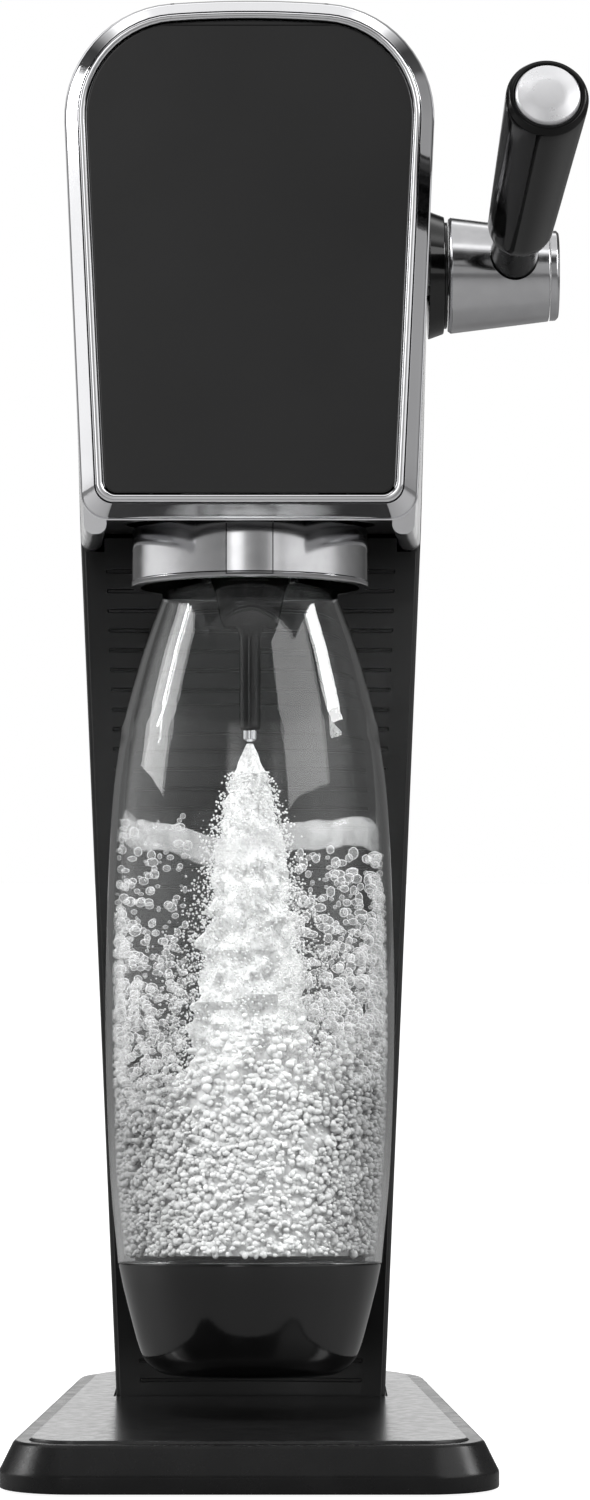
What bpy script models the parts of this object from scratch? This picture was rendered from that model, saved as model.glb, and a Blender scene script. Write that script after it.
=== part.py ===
"""Manual soda carbonator: a base, a grooved column, an arched head and a bottle hanging under it.

Every length below is in millimetres, and the helpers turn it into metres. X is right, Y is back and
Z is up, with the origin on the table under the middle of the base.
"""

import math

import bmesh
import bpy
from mathutils import Matrix, Vector

MM = 0.001
GAP = 0.3

# Base: a tray that is wider in front, with a sloped skirt
BASE_CORNERS = ((-67.2, -122.5), (67.2, -122.5), (52.1, 122.5), (-52.1, 122.5))
BASE_RADII = (17.0, 17.0, 27.0, 27.0)
BASE_TOP = 14.3
SKIRT_BEND = 5.8
SKIRT_OUT = 4.9
BASE_BOTTOM = 0.8
BASE_WALL = 2.2
RECESS_DEPTH = 0.8
RIM_WIDTH = 3.8
MAT_TOP = 15.1
FEET = {
    "foot_front_left": (-54.0, -108.0),
    "foot_front_right": (54.0, -108.0),
    "foot_rear_left": (-38.0, 105.0),
    "foot_rear_right": (38.0, 105.0),
    "foot_centre": (0.0, 0.0),
}
FOOT_RADIUS = 7.0
FOOT_HEIGHT = 1.3

# Body: an arch-shaped band, seen from the front
BODY_FOOT = 13.8
BODY_FRONT = 25.0
BODY_BACK = 84.0
BODY_WALL = 3.0
FOOT_HALF = 41.0
WAIST_Z = 278.0
WAIST_HALF = 52.0
HEAD_TOP = 425.7
BODY_TOP_HALF = 55.9
CROWN_RADIUS = 325.0
CROWN_RISE = 3.9
COVER_BACK = 112.0
SCREW_PLACES = ((-28.0, 38.0), (28.0, 38.0), (-28.0, 76.0), (28.0, 76.0))
SCREW_TOP = 19.5

# Column front panel and its grooves
PANEL_FRONT = 21.5
PANEL_HOLLOW = 5.0
PANEL_THICKNESS = 2.4
PANEL_MARGIN = 1.2
PANEL_BOTTOM = 14.3
PANEL_TOP = 276.6
GROOVE_COUNT = 42
GROOVE_FIRST = 19.7
GROOVE_PITCH = 6.02
GROOVE_HEIGHT = 0.85
GROOVE_DEPTH = 1.2
GROOVE_END = 6.5

# Head: the bezel's outline at the front and the side frame behind it
HEAD_BOTTOM = 276.7
HEAD_FRONT = -82.6
BEZEL_BACK = -76.3
SIDE_FRONT = -76.0
SIDE_BACK = 24.7
LEG_BOTTOM = 272.7
LEG_THICKNESS = 6.5
HEAD_LOW_HALF = 48.4
HEAD_HIGH_HALF = 54.4

# Lever: the hinge runs along X, and the arm points forward and up
LEVER_AXIS = Vector((77.7, -12.0, 353.4))
LEVER_RISE = math.radians(18.5)
LEVER_SPLAY = math.radians(2.8)
COLLAR_START = 54.7
DRUM_START = 59.1
DRUM_END = 89.2
SHAFT_RADIUS = 6.0
SHAFT_INNER_END = 10.0
SHAFT_OUTER_END = 68.0
SPRING_RADIUS = 9.0
SPRING_STEPS = 9
SPRING_TURNS = 3
SPRING_START = 20.0
CRANK_X = (36.0, 44.0)
CRANK_ARM = 16.0
CRANK_HUB = 8.6
PUSHER_Z = 342.2
PUSHER_HALF = 3.2
HOSE_RADIUS = 3.0

# Bottle and holder, on one axis that leans back
TILT = math.radians(3.3)
BOTTLE_FOOT = Vector((0.0, -40.84, 26.4))
HOLDER_PIVOT = Vector((0.0, -60.0, 285.0))
PIN_RADIUS = 2.5
EAR_X = 24.0
EAR_HALF = 4.0
OPENING_RADIUS = 37.2
OPENING_Y = -26.3
RING_BOTTOM = 233.0
RING_TOP = 251.0
RING_RADIUS = 35.0
RING_WALL = 2.6
TAB_WIDTH = 13.6
CUP_TOP = 35.0
CUP_TOP_RADIUS = 38.3
CUP_WALL = 1.6
BOTTLE_WALL = 1.8
NECK_RADIUS = 16.5
MOUTH_RADIUS = 13.0
BOTTLE_MOUTH = 248.0
TUBE_RADIUS = 3.1
TIP_RADIUS = 2.15
TUBE_BOTTOM = 192.0
TIP_BOTTOM = 187.4

# Gas cylinder and its latch
CYLINDER_Y = 66.0
CYLINDER_RADIUS = 30.0
CYLINDER_BOTTOM = 25.0
CRADLE_Z = (20.0, 38.0)
CYLINDER_TOP = 340.0
ADAPTOR_Z = (374.5, 398.0)
LATCH_PIVOT = Vector((0.0, 58.0, 388.0))
LATCH_LENGTH = 31.0
LATCH_DROOP = math.radians(20.0)
BUTTON_Z = 392.0
BUTTON_RADIUS = 9.0


# --- helpers ---------------------------------------------------------------------------------


def clear_scene():
    for obj in list(bpy.data.objects):
        bpy.data.objects.remove(obj, do_unlink=True)


def new_collection(name):
    collection = bpy.data.collections.new(name)
    bpy.context.scene.collection.children.link(collection)
    return collection


def finish(name, colour, roughness, metallic=0.0, transmission=0.0):
    """A material: one Principled shader with the part's colour, roughness and metallic value."""
    material = bpy.data.materials.new(name)
    material.use_nodes = True
    shader = material.node_tree.nodes["Principled BSDF"]
    shader.inputs["Base Color"].default_value = (*colour, 1.0)
    shader.inputs["Roughness"].default_value = roughness
    shader.inputs["Metallic"].default_value = metallic
    shader.inputs["Transmission Weight"].default_value = transmission
    return material


def empty(name, place, parent=None, rotation=(0.0, 0.0, 0.0)):
    obj = bpy.data.objects.new(name, None)
    PARTS.objects.link(obj)
    obj.parent = parent
    obj.location = Vector(place) * MM
    obj.rotation_euler = rotation
    return obj


def add(name, mesh, material, parent=None):
    """The mesh as a named part, shaded smooth except along its sharp edges."""
    obj = bpy.data.objects.new(name, mesh)
    mesh.materials.append(material)
    mesh.shade_smooth()
    mesh.set_sharp_from_angle(angle=math.radians(35))
    obj.parent = parent
    PARTS.objects.link(obj)
    return obj


def as_cutter(obj):
    PARTS.objects.unlink(obj)
    CUTTERS.objects.link(obj)
    obj.hide_render = True
    obj.display_type = "WIRE"
    return obj


def boolean(obj, other, operation="DIFFERENCE"):
    modifier = obj.modifiers.new(operation.lower(), "BOOLEAN")
    modifier.operation = operation
    modifier.solver = "EXACT"
    modifier.object = as_cutter(other) if other.name not in CUTTERS.objects else other
    return obj


def moved_inward(corners, distance):
    """The corners of a convex outline, counter-clockwise, with every edge moved in by a distance."""
    count = len(corners)
    edges = []
    for index in range(count):
        start = Vector(corners[index])
        along = (Vector(corners[(index + 1) % count]) - start).normalized()
        edges.append((start + Vector((-along.y, along.x)) * distance, along))
    moved = []
    for index in range(count):
        (start, along), (other, across) = edges[index - 1], edges[index]
        offset = other - start
        reach = (offset.x * across.y - offset.y * across.x) / (along.x * across.y - along.y * across.x)
        moved.append(start + along * reach)
    return moved


def rounded(corners, radii, steps=5):
    """The corners as arcs of the given radii, each of the same number of points."""
    points = []
    count = len(corners)
    for index, radius in enumerate(radii):
        corner = Vector(corners[index])
        before = (Vector(corners[index - 1]) - corner).normalized()
        after = (Vector(corners[(index + 1) % count]) - corner).normalized()
        half = before.angle(after) / 2
        centre = corner + (before + after).normalized() * radius / math.sin(half)
        spoke = corner + before * radius / math.tan(half) - centre
        end = corner + after * radius / math.tan(half) - centre
        turn = -spoke.angle_signed(end)
        for step in range(steps + 1):
            angle = turn * step / steps
            points.append(
                centre
                + Vector(
                    (
                        spoke.x * math.cos(angle) - spoke.y * math.sin(angle),
                        spoke.x * math.sin(angle) + spoke.y * math.cos(angle),
                    )
                )
            )
    return points


def outline(corners, radii, inward=0.0, steps=5):
    """A rounded convex outline moved in by a distance, so that its arcs stay concentric."""
    return rounded(moved_inward(corners, inward), [max(radius - inward, 0.6) for radius in radii], steps)


def flat_ring(points, z):
    return [Vector((point.x, point.y, z)) for point in points]


def upright_ring(points, y):
    return [Vector((point.x, y, point.y)) for point in points]


def between(first, second, share):
    return [start.lerp(end, share) for start, end in zip(first, second, strict=True)]


def loft_mesh(name, stacks, closed=False):
    """A mesh of one loft for each stack of rings, closed round like a frame or capped at both ends."""
    mesh = bpy.data.meshes.new(name)
    shape = bmesh.new()
    for rings in stacks:
        rows = [[shape.verts.new(point * MM) for point in ring] for ring in rings]
        pairs = list(zip(rows, rows[1:]))
        if closed:
            pairs.append((rows[-1], rows[0]))
        else:
            shape.faces.new(rows[0])
            shape.faces.new(rows[-1])
        for lower, upper in pairs:
            for index in range(len(lower)):
                after = (index + 1) % len(lower)
                shape.faces.new((lower[index], lower[after], upper[after], upper[index]))
    bmesh.ops.recalc_face_normals(shape, faces=shape.faces)
    shape.to_mesh(mesh)
    shape.free()
    return mesh


def loft(name, rings, material, closed=False, parent=None):
    return add(name, loft_mesh(name, [rings], closed), material, parent)


def turned(name, profile, material, steps=32, hollow=False, parent=None):
    """A shape turned about its own Z. The profile runs from the top down its outer side."""
    mesh = bpy.data.meshes.new(name)
    shape = bmesh.new()
    points = [shape.verts.new((radius * MM, 0.0, height * MM)) for radius, height in profile]
    for first, second in zip(points, points[1:]):
        shape.edges.new((first, second))
    if hollow:
        shape.edges.new((points[-1], points[0]))
    shape.to_mesh(mesh)
    shape.free()
    obj = add(name, mesh, material, parent)
    screw = obj.modifiers.new("turn", "SCREW")
    screw.steps = steps
    screw.render_steps = steps
    screw.use_merge_vertices = True
    screw.merge_threshold = 0.000001
    screw.use_smooth_shade = True
    return obj


def tube_profile(inner, outer, bottom, top):
    return ((outer, top), (outer, bottom), (inner, bottom), (inner, top))


def rod(name, radius, bottom, top, material, steps=24, parent=None):
    """A plain cylinder along its own Z."""
    mesh = bpy.data.meshes.new(name)
    shape = bmesh.new()
    bmesh.ops.create_cone(
        shape,
        cap_ends=True,
        segments=steps,
        radius1=radius * MM,
        radius2=radius * MM,
        depth=(top - bottom) * MM,
        matrix=Matrix.Translation((0.0, 0.0, (bottom + top) / 2 * MM)),
    )
    shape.to_mesh(mesh)
    shape.free()
    return add(name, mesh, material, parent)


def block(name, low, high, material, bevel=0.0, parent=None):
    """A box between two corners, with its edges rounded."""
    mesh = bpy.data.meshes.new(name)
    shape = bmesh.new()
    bmesh.ops.create_cube(shape, size=1.0)
    centre = (Vector(low) + Vector(high)) / 2
    size = Vector(high) - Vector(low)
    bmesh.ops.scale(shape, vec=size * MM, verts=shape.verts)
    bmesh.ops.translate(shape, vec=centre * MM, verts=shape.verts)
    shape.to_mesh(mesh)
    shape.free()
    obj = add(name, mesh, material, parent)
    if bevel:
        modifier = obj.modifiers.new("bevel", "BEVEL")
        modifier.width = bevel * MM
        modifier.segments = 2
    return obj


def plate(name, points, bottom, top, material):
    """A flat outline given thickness: a filled 2D curve, made a mesh so that it can be cut."""
    curve = bpy.data.curves.new(name, "CURVE")
    curve.dimensions = "2D"
    curve.fill_mode = "BOTH"
    curve.extrude = (top - bottom) / 2 * MM
    spline = curve.splines.new("POLY")
    spline.points.add(len(points) - 1)
    for knot, point in zip(spline.points, points):
        knot.co = (point.x * MM, point.y * MM, 0.0, 1.0)
    spline.use_cyclic_u = True
    guide = bpy.data.objects.new(name + "_guide", curve)
    PARTS.objects.link(guide)
    graph = bpy.context.evaluated_depsgraph_get()
    mesh = bpy.data.meshes.new_from_object(guide.evaluated_get(graph))
    bpy.data.objects.remove(guide)
    mesh.name = name
    shape = bmesh.new()
    shape.from_mesh(mesh)
    bmesh.ops.remove_doubles(shape, verts=shape.verts, dist=0.01 * MM)
    bmesh.ops.translate(shape, vec=(0.0, 0.0, (bottom + top) / 2 * MM), verts=shape.verts)
    shape.to_mesh(mesh)
    shape.free()
    return add(name, mesh, material)


def tube(name, points, radius, material, sides=2):
    """A wire or hose along a list of points, with closed ends."""
    curve = bpy.data.curves.new(name, "CURVE")
    curve.dimensions = "3D"
    curve.bevel_depth = radius * MM
    curve.bevel_resolution = sides
    curve.use_fill_caps = True
    spline = curve.splines.new("POLY")
    spline.points.add(len(points) - 1)
    for knot, point in zip(spline.points, points):
        knot.co = (*(Vector(point) * MM), 1.0)
    curve.materials.append(material)
    obj = bpy.data.objects.new(name, curve)
    PARTS.objects.link(obj)
    return obj


def smooth_route(knots, steps):
    """Points along a Catmull-Rom curve through the knots."""
    knots = [Vector(knot) for knot in knots]
    padded = [2 * knots[0] - knots[1], *knots, 2 * knots[-1] - knots[-2]]
    points = [knots[0]]
    for index in range(1, len(padded) - 2):
        before, start, end, after = padded[index - 1 : index + 3]
        for step in range(1, steps + 1):
            t = step / steps
            points.append(
                0.5
                * (
                    2 * start
                    + (end - before) * t
                    + (2 * before - 5 * start + 4 * end - after) * t * t
                    + (3 * start - before - 3 * end + after) * t**3
                )
            )
    return points


def along_x(obj, y, z, x=0.0):
    """Turns a shape made along Z so that it points along X, through a point."""
    obj.location = Vector((x, y, z)) * MM
    obj.rotation_euler = (0.0, math.radians(90), 0.0)
    return obj


def along_y(obj, x, z):
    """Turns a shape made along Z so that it points along Y, at a place."""
    obj.location = Vector((x, 0.0, z)) * MM
    obj.rotation_euler = (math.radians(-90), 0.0, 0.0)
    return obj


# --- outlines --------------------------------------------------------------------------------


def body_half(z):
    """Half the column's width at a height."""
    return FOOT_HALF + (WAIST_HALF - FOOT_HALF) * (z - BODY_FOOT) / (WAIST_Z - BODY_FOOT)


def arch_corners(bottom_half, bottom, top_half, top, waist=None):
    """An arch seen from the front: level foot, straight sides and a low crown, counter-clockwise."""
    side = [waist] if waist else []
    mirrored = [(-x, z) for x, z in side]
    return [
        (-bottom_half, bottom),
        (bottom_half, bottom),
        *side,
        (top_half, top - CROWN_RISE),
        (0.0, top),
        (-top_half, top - CROWN_RISE),
        *mirrored,
    ]


def body_outline(inward, bottom=BODY_FOOT):
    corners = arch_corners(
        body_half(bottom), bottom, BODY_TOP_HALF, HEAD_TOP + 0.3, (WAIST_HALF, WAIST_Z)
    )
    return outline(corners, (1.5, 1.5, 900.0, 34.0, CROWN_RADIUS, 34.0, 900.0), inward, 4)


def head_outline(shrink_side=0.0, shrink_top=0.0, shrink_bottom=0.0, top_radius=33.0, bottom_radius=8.0):
    """The bezel's outer outline, or one inside it, with a band of its own width on each side."""
    corners = arch_corners(
        HEAD_LOW_HALF - shrink_side,
        HEAD_BOTTOM + shrink_bottom,
        HEAD_HIGH_HALF - shrink_side,
        HEAD_TOP + 0.8 - shrink_top,
    )
    return rounded(corners, (bottom_radius, bottom_radius, top_radius, CROWN_RADIUS - 20, top_radius), 4)


def side_frame_outline(low_half, high_half, top):
    """An inverted U: two legs with round ends, joined by the arch."""
    inner_low = low_half - LEG_THICKNESS
    inner_high = high_half - LEG_THICKNESS
    inner_top = top - LEG_THICKNESS
    corners = (
        (-low_half, LEG_BOTTOM),
        (-inner_low, LEG_BOTTOM),
        (-inner_high, inner_top - CROWN_RISE),
        (0.0, inner_top),
        (inner_high, inner_top - CROWN_RISE),
        (inner_low, LEG_BOTTOM),
        (low_half, LEG_BOTTOM),
        (high_half, top - CROWN_RISE),
        (0.0, top),
        (-high_half, top - CROWN_RISE),
    )
    end = LEG_THICKNESS / 2 - 0.3
    radii = (end, end, 27.0, CROWN_RADIUS - 30, 27.0, end, end, 33.0, CROWN_RADIUS - 20, 33.0)
    return rounded(corners, radii, 4)


# --- base ------------------------------------------------------------------------------------


def base_ring(inward, z):
    return flat_ring(outline(BASE_CORNERS, BASE_RADII, inward), z)


def make_base():
    loft(
        "base_shell",
        (
            base_ring(BASE_WALL, BASE_TOP - RECESS_DEPTH - BASE_WALL),
            base_ring(BASE_WALL - SKIRT_OUT, SKIRT_BEND),
            base_ring(BASE_WALL - SKIRT_OUT, BASE_BOTTOM),
            base_ring(-SKIRT_OUT, BASE_BOTTOM),
            base_ring(-SKIRT_OUT, SKIRT_BEND),
            base_ring(-0.7, BASE_TOP - 0.6),
            base_ring(0.0, BASE_TOP),
            base_ring(RIM_WIDTH, BASE_TOP),
            base_ring(RIM_WIDTH, BASE_TOP - RECESS_DEPTH),
        ),
        BLACK_PLASTIC,
    )
    shell = bpy.data.objects["base_shell"]
    for x, y in SCREW_PLACES:
        hole = rod("screw_hole", 2.4, 5.0, 20.0, BLACK_PLASTIC, 12)
        hole.location = Vector((x, y, 0.0)) * MM
        boolean(shell, hole)

    mat = plate(
        "base_mat",
        outline(BASE_CORNERS, BASE_RADII, RIM_WIDTH + GAP),
        BASE_TOP - RECESS_DEPTH + GAP,
        MAT_TOP,
        MAT_PLASTIC,
    )
    foot = body_half(MAT_TOP) + 0.7
    cutout = block("mat_cutout", (-foot, PANEL_FRONT - 0.7, 0.0), (foot, 150.0, 40.0), MAT_PLASTIC)
    boolean(mat, cutout)

    cover_inset = BASE_WALL - SKIRT_OUT + GAP
    plate("bottom_cover", outline(BASE_CORNERS, BASE_RADII, cover_inset), 1.6, 3.4, BLACK_PLASTIC)
    for name, (x, y) in FEET.items():
        profile = ((0.0, FOOT_HEIGHT), (FOOT_RADIUS, FOOT_HEIGHT), (FOOT_RADIUS - 0.5, 0.0), (0.0, 0.0))
        foot = turned(name, profile, RUBBER, 16)
        foot.location = Vector((x, y, 0.0)) * MM
    for number, (x, y) in enumerate(SCREW_PLACES, 1):
        profile = ((0.0, SCREW_TOP), (2.0, SCREW_TOP), (2.0, 11.0), (3.6, 11.0), (3.6, 8.4), (0.0, 8.4))
        screw = turned(f"column_screw_{number}", profile, STEEL, 12)
        screw.location = Vector((x, y, 0.0)) * MM


# --- body ------------------------------------------------------------------------------------


def panel_section(half, z, front_offset, back_offset, parts=3):
    """One section of the hollow-faced panel, or of a groove in it, at a height."""
    across = [half * (2 * index / parts - 1) for index in range(parts + 1)]
    full = body_half(z) - PANEL_MARGIN
    face = [(x, PANEL_FRONT + PANEL_HOLLOW * (1 - (x / full) ** 2)) for x in across]
    front = [Vector((x, y + front_offset, z)) for x, y in face]
    back = [Vector((x, y + back_offset, z)) for x, y in reversed(face)]
    return front + back


def make_body():
    frame = loft(
        "body_frame",
        (
            upright_ring(body_outline(0.4), BODY_FRONT),
            upright_ring(body_outline(0.0), BODY_FRONT + 1.0),
            upright_ring(body_outline(0.0), BODY_BACK),
            upright_ring(body_outline(BODY_WALL), BODY_BACK),
            upright_ring(body_outline(BODY_WALL), BODY_FRONT),
        ),
        BLACK_SATIN,
        closed=True,
    )
    for x, y in SCREW_PLACES:
        hole = rod("floor_hole", 2.4, 5.0, 20.0, BLACK_SATIN, 12)
        hole.location = Vector((x, y, 0.0)) * MM
        boolean(frame, hole)

    notch_low = (-FOOT_HALF + 3.5, BODY_FRONT - 2.0, BODY_FOOT - 2.0)
    notch_high = (FOOT_HALF - 3.5, PANEL_FRONT + PANEL_HOLLOW + PANEL_THICKNESS + 0.6, BODY_FOOT + 4.0)
    boolean(frame, block("panel_notch", notch_low, notch_high, BLACK_SATIN))

    panel = loft(
        "column_front_panel",
        [
            panel_section(body_half(z) - PANEL_MARGIN, z, 0.0, PANEL_THICKNESS)
            for z in (PANEL_BOTTOM, PANEL_TOP)
        ],
        BLACK_SATIN,
    )
    grooves = []
    for index in range(GROOVE_COUNT):
        z = GROOVE_FIRST + index * GROOVE_PITCH
        half = body_half(z) - PANEL_MARGIN - GROOVE_END
        heights = (z - GROOVE_HEIGHT / 2, z + GROOVE_HEIGHT / 2)
        grooves.append([panel_section(half, height, -2.0, GROOVE_DEPTH) for height in heights])
    boolean(panel, add("groove_cutters", loft_mesh("groove_cutters", grooves), BLACK_SATIN))
    leg = WAIST_HALF - LEG_THICKNESS - 0.9
    for side in (-1, 1):
        low = (min(side * leg, side * 60.0), 15.0, LEG_BOTTOM - GAP)
        high = (max(side * leg, side * 60.0), 40.0, 300.0)
        boolean(panel, block(f"leg_notch_{side}", low, high, BLACK_SATIN))


# --- head ------------------------------------------------------------------------------------


def make_head():
    side = loft(
        "head_side_frame",
        (
            upright_ring(side_frame_outline(47.6, 54.0, HEAD_TOP + 0.4), SIDE_FRONT),
            upright_ring(side_frame_outline(51.6, 56.2, HEAD_TOP - 0.2), SIDE_BACK),
        ),
        SILVER,
    )
    boolean(side, along_x(rod("shaft_hole", 8.3, 40.0, 70.0, SILVER), LEVER_AXIS.y, LEVER_AXIS.z))

    outer = head_outline()
    inner = head_outline(6.4, 5.8, 7.2, 27.0, 4.0)
    profile = (
        (0.0, BEZEL_BACK),
        (0.0, HEAD_FRONT + 1.6),
        (0.12, HEAD_FRONT + 0.4),
        (0.38, HEAD_FRONT),
        (0.64, HEAD_FRONT + 0.5),
        (0.69, HEAD_FRONT + 1.3),
        (0.74, HEAD_FRONT + 0.6),
        (0.92, HEAD_FRONT + 0.7),
        (1.0, HEAD_FRONT + 1.6),
        (1.0, BEZEL_BACK),
    )
    rings = [upright_ring(between(outer, inner, share), y) for share, y in profile]
    loft("head_bezel", rings, CHROME, closed=True)

    gap = 0.5
    edge = head_outline(6.4 + gap, 5.8 + gap, 7.2 + gap, 26.6, 3.6)
    face = head_outline(7.3 + gap, 6.7 + gap, 8.1 + gap, 26.0, 3.2)
    loft(
        "head_front_panel",
        (
            upright_ring(edge, BEZEL_BACK - 0.7),
            upright_ring(edge, HEAD_FRONT + 2.0),
            upright_ring(face, HEAD_FRONT + 1.5),
        ),
        GLOSS_BLACK,
    )

    corners = [Vector(place) for place in ((-40.8, -75.7), (40.8, -75.7), (44.4, 24.4), (-44.4, 24.4))]
    underside = plate("head_underside", rounded(corners, (3.0,) * 4, 3), 278.0, 280.4, BLACK_SATIN)
    hole = rod("holder_opening", OPENING_RADIUS, 260.0, 300.0, BLACK_SATIN, 40)
    hole.location = Vector((0.0, OPENING_Y, 0.0)) * MM
    boolean(underside, hole)
    ear_low = (-EAR_X - EAR_HALF - 0.8, HOLDER_PIVOT.y - 6.4, 270.0)
    ear_high = (EAR_X + EAR_HALF + 0.8, OPENING_Y, 290.0)
    boolean(underside, block("ear_opening", ear_low, ear_high, BLACK_SATIN))


def make_valve():
    bracket = block("shaft_bracket", (12.0, -24.0, 335.0), (15.0, 22.0, 371.0), STEEL)
    bore = rod("bracket_bore", SHAFT_RADIUS + GAP, 5.0, 20.0, STEEL)
    boolean(bracket, along_x(bore, LEVER_AXIS.y, LEVER_AXIS.z))

    valve = block("valve_block", (18.0, 26.0, 331.0), (48.0, 54.0, 356.0), BRASS, 1.5)
    low = (CRANK_X[0] - 0.4, 20.0, PUSHER_Z - PUSHER_HALF - 0.4)
    high = (CRANK_X[1] + 0.4, 46.0, PUSHER_Z + PUSHER_HALF + 0.4)
    boolean(valve, block("pusher_bore", low, high, BRASS))

    low = (CRANK_X[0], LEVER_AXIS.y + 4.3, PUSHER_Z - PUSHER_HALF)
    high = (CRANK_X[1], 34.0, PUSHER_Z + PUSHER_HALF)
    block("valve_pusher", low, high, STEEL, 0.6, PUSHER_EMPTY)

    low = (-19.4, 46.0, ADAPTOR_Z[0])
    high = (19.4, 77.0, ADAPTOR_Z[1])
    adaptor = block("cylinder_adaptor", low, high, BRASS, 2.0)
    pins = along_x(rod("latch_pins", 3.0, -25.0, 25.0, BRASS), LATCH_PIVOT.y, LATCH_PIVOT.z)
    boolean(adaptor, pins, "UNION")

    route = (
        (0.0, 45.4, 386.0),
        (2.0, 38.0, 385.0),
        (16.0, 32.0, 380.0),
        (26.0, 38.0, 366.0),
        (27.0, 38.0, 356.6),
    )
    tube("cylinder_hose", smooth_route(route, 3), HOSE_RADIUS, RUBBER)
    route = (
        (24.0, 25.6, 337.0),
        (24.0, 16.0, 335.0),
        (14.0, 0.0, 315.0),
        (2.0, -30.0, 304.0),
        (-8.0, -56.0, 300.0),
    )
    tube("outlet_hose", smooth_route(route, 4), HOSE_RADIUS, RUBBER)


# --- lever -----------------------------------------------------------------------------------


def make_lever():
    axis_y, axis_z = LEVER_AXIS.y, LEVER_AXIS.z
    bore = SHAFT_RADIUS + GAP
    collar = (
        (15.95, DRUM_START - GAP),
        (15.95, 58.0),
        (17.45, 57.9),
        (19.2, COLLAR_START),
        (bore, COLLAR_START),
        (bore, DRUM_START - GAP),
    )
    along_x(turned("lever_collar", collar, GLOSS_BLACK, 24, True), axis_y, axis_z)
    bushing = turned("shaft_bushing", tube_profile(bore, 8.0, 46.8, 52.6), WHITE_PLASTIC, 20, True)
    along_x(bushing, axis_y, axis_z)
    coil = []
    for step in range(SPRING_TURNS * SPRING_STEPS + 1):
        angle = math.tau * step / SPRING_STEPS
        across = Vector((0.0, math.cos(angle), math.sin(angle))) * SPRING_RADIUS
        coil.append(Vector((SPRING_START + 0.3 * angle, axis_y, axis_z)) + across)
    tube("lever_return_spring", coil, 0.7, STEEL, 1)

    def on_axis(obj):
        obj.parent = LEVER_EMPTY
        return along_x(obj, 0.0, 0.0, -LEVER_AXIS.x)

    on_axis(rod("lever_shaft", SHAFT_RADIUS, SHAFT_INNER_END, SHAFT_OUTER_END, STEEL, 20))
    low = (CRANK_X[0], -4.0, -CRANK_ARM)
    high = (CRANK_X[1], 4.0, 0.0)
    crank = block("lever_crank", low, high, STEEL, parent=LEVER_EMPTY)
    crank.location = (-LEVER_AXIS.x * MM, 0.0, 0.0)
    hub = rod("crank_hub", CRANK_HUB, CRANK_X[0] - 1.0, CRANK_X[1] + 1.0, STEEL, 20)
    boolean(crank, on_axis(hub), "UNION")
    boolean(crank, on_axis(rod("crank_bore", bore, 20.0, 60.0, STEEL, 20)))

    drum_profile = (
        (0.0, DRUM_END),
        (13.6, DRUM_END),
        (13.9, DRUM_END - 1.0),
        (17.4, DRUM_START + 1.0),
        (17.1, DRUM_START),
        (bore, DRUM_START),
        (bore, SHAFT_OUTER_END + GAP),
        (0.0, SHAFT_OUTER_END + GAP),
    )
    drum = on_axis(turned("lever_drum", drum_profile, BRUSHED_STEEL, 28))
    top = DRUM_END + 3.0
    cap = (
        (0.0, top),
        (7.0, top - 0.3),
        (12.0, top - 1.1),
        (13.5, top - 2.2),
        (13.5, DRUM_END + GAP),
        (0.0, DRUM_END + GAP),
    )
    on_axis(turned("drum_end_cap", cap, SILVER, 20))

    neck_entry = 9.0
    socket = rod("neck_socket", 7.3, neck_entry - GAP, 40.0, BLACK_PLASTIC, 24, ARM_EMPTY)
    boolean(drum, socket)
    neck = (
        (0.0, 60.0),
        (4.6, 60.0),
        (4.6, 33.6),
        (6.9, 33.6),
        (6.9, neck_entry),
        (0.0, neck_entry),
    )
    turned("lever_neck", neck, BLACK_PLASTIC, 16, parent=ARM_EMPTY)
    grip = (
        (0.0, 121.5),
        (9.5, 121.5),
        (9.6, 124.2),
        (10.9, 123.4),
        (11.75, 120.5),
        (11.6, 112.0),
        (10.9, 85.0),
        (10.2, 55.0),
        (9.7, 37.0),
        (9.2, 34.4),
        (7.6, 33.9),
        (4.9, 33.9),
        (4.9, 60.3),
        (0.0, 60.3),
    )
    turned("lever_grip", grip, BLACK_PLASTIC, 20, parent=ARM_EMPTY)
    cap = ((0.0, 126.0), (5.0, 125.8), (8.6, 125.1), (9.2, 124.2), (9.2, 121.8), (0.0, 121.8))
    turned("grip_end_cap", cap, SILVER, 20, parent=ARM_EMPTY)


# --- bottle and holder -----------------------------------------------------------------------


def bottle_curve(steps=1):
    """The bottle's outer side from its cup to its shoulder, as (radius, height) pairs going up."""
    knots = (
        (CUP_TOP_RADIUS, CUP_TOP),
        (41.5, 64.0),
        (42.7, 110.0),
        (41.3, 160.0),
        (38.4, 188.0),
        (32.5, 212.0),
        (25.4, 233.0),
    )
    return [(point.x, point.y) for point in smooth_route(knots, steps)]


def cup_curve(inward=0.0):
    """The cup's outer side from its flat bottom upwards, moved in by a distance."""
    heights = ((20.0, 0.0), (26.2, 1.3), (30.6, 7.2), (34.6, 16.0), (36.9, 26.0))
    return [(radius - inward, height + inward * 0.8) for radius, height in heights]


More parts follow.
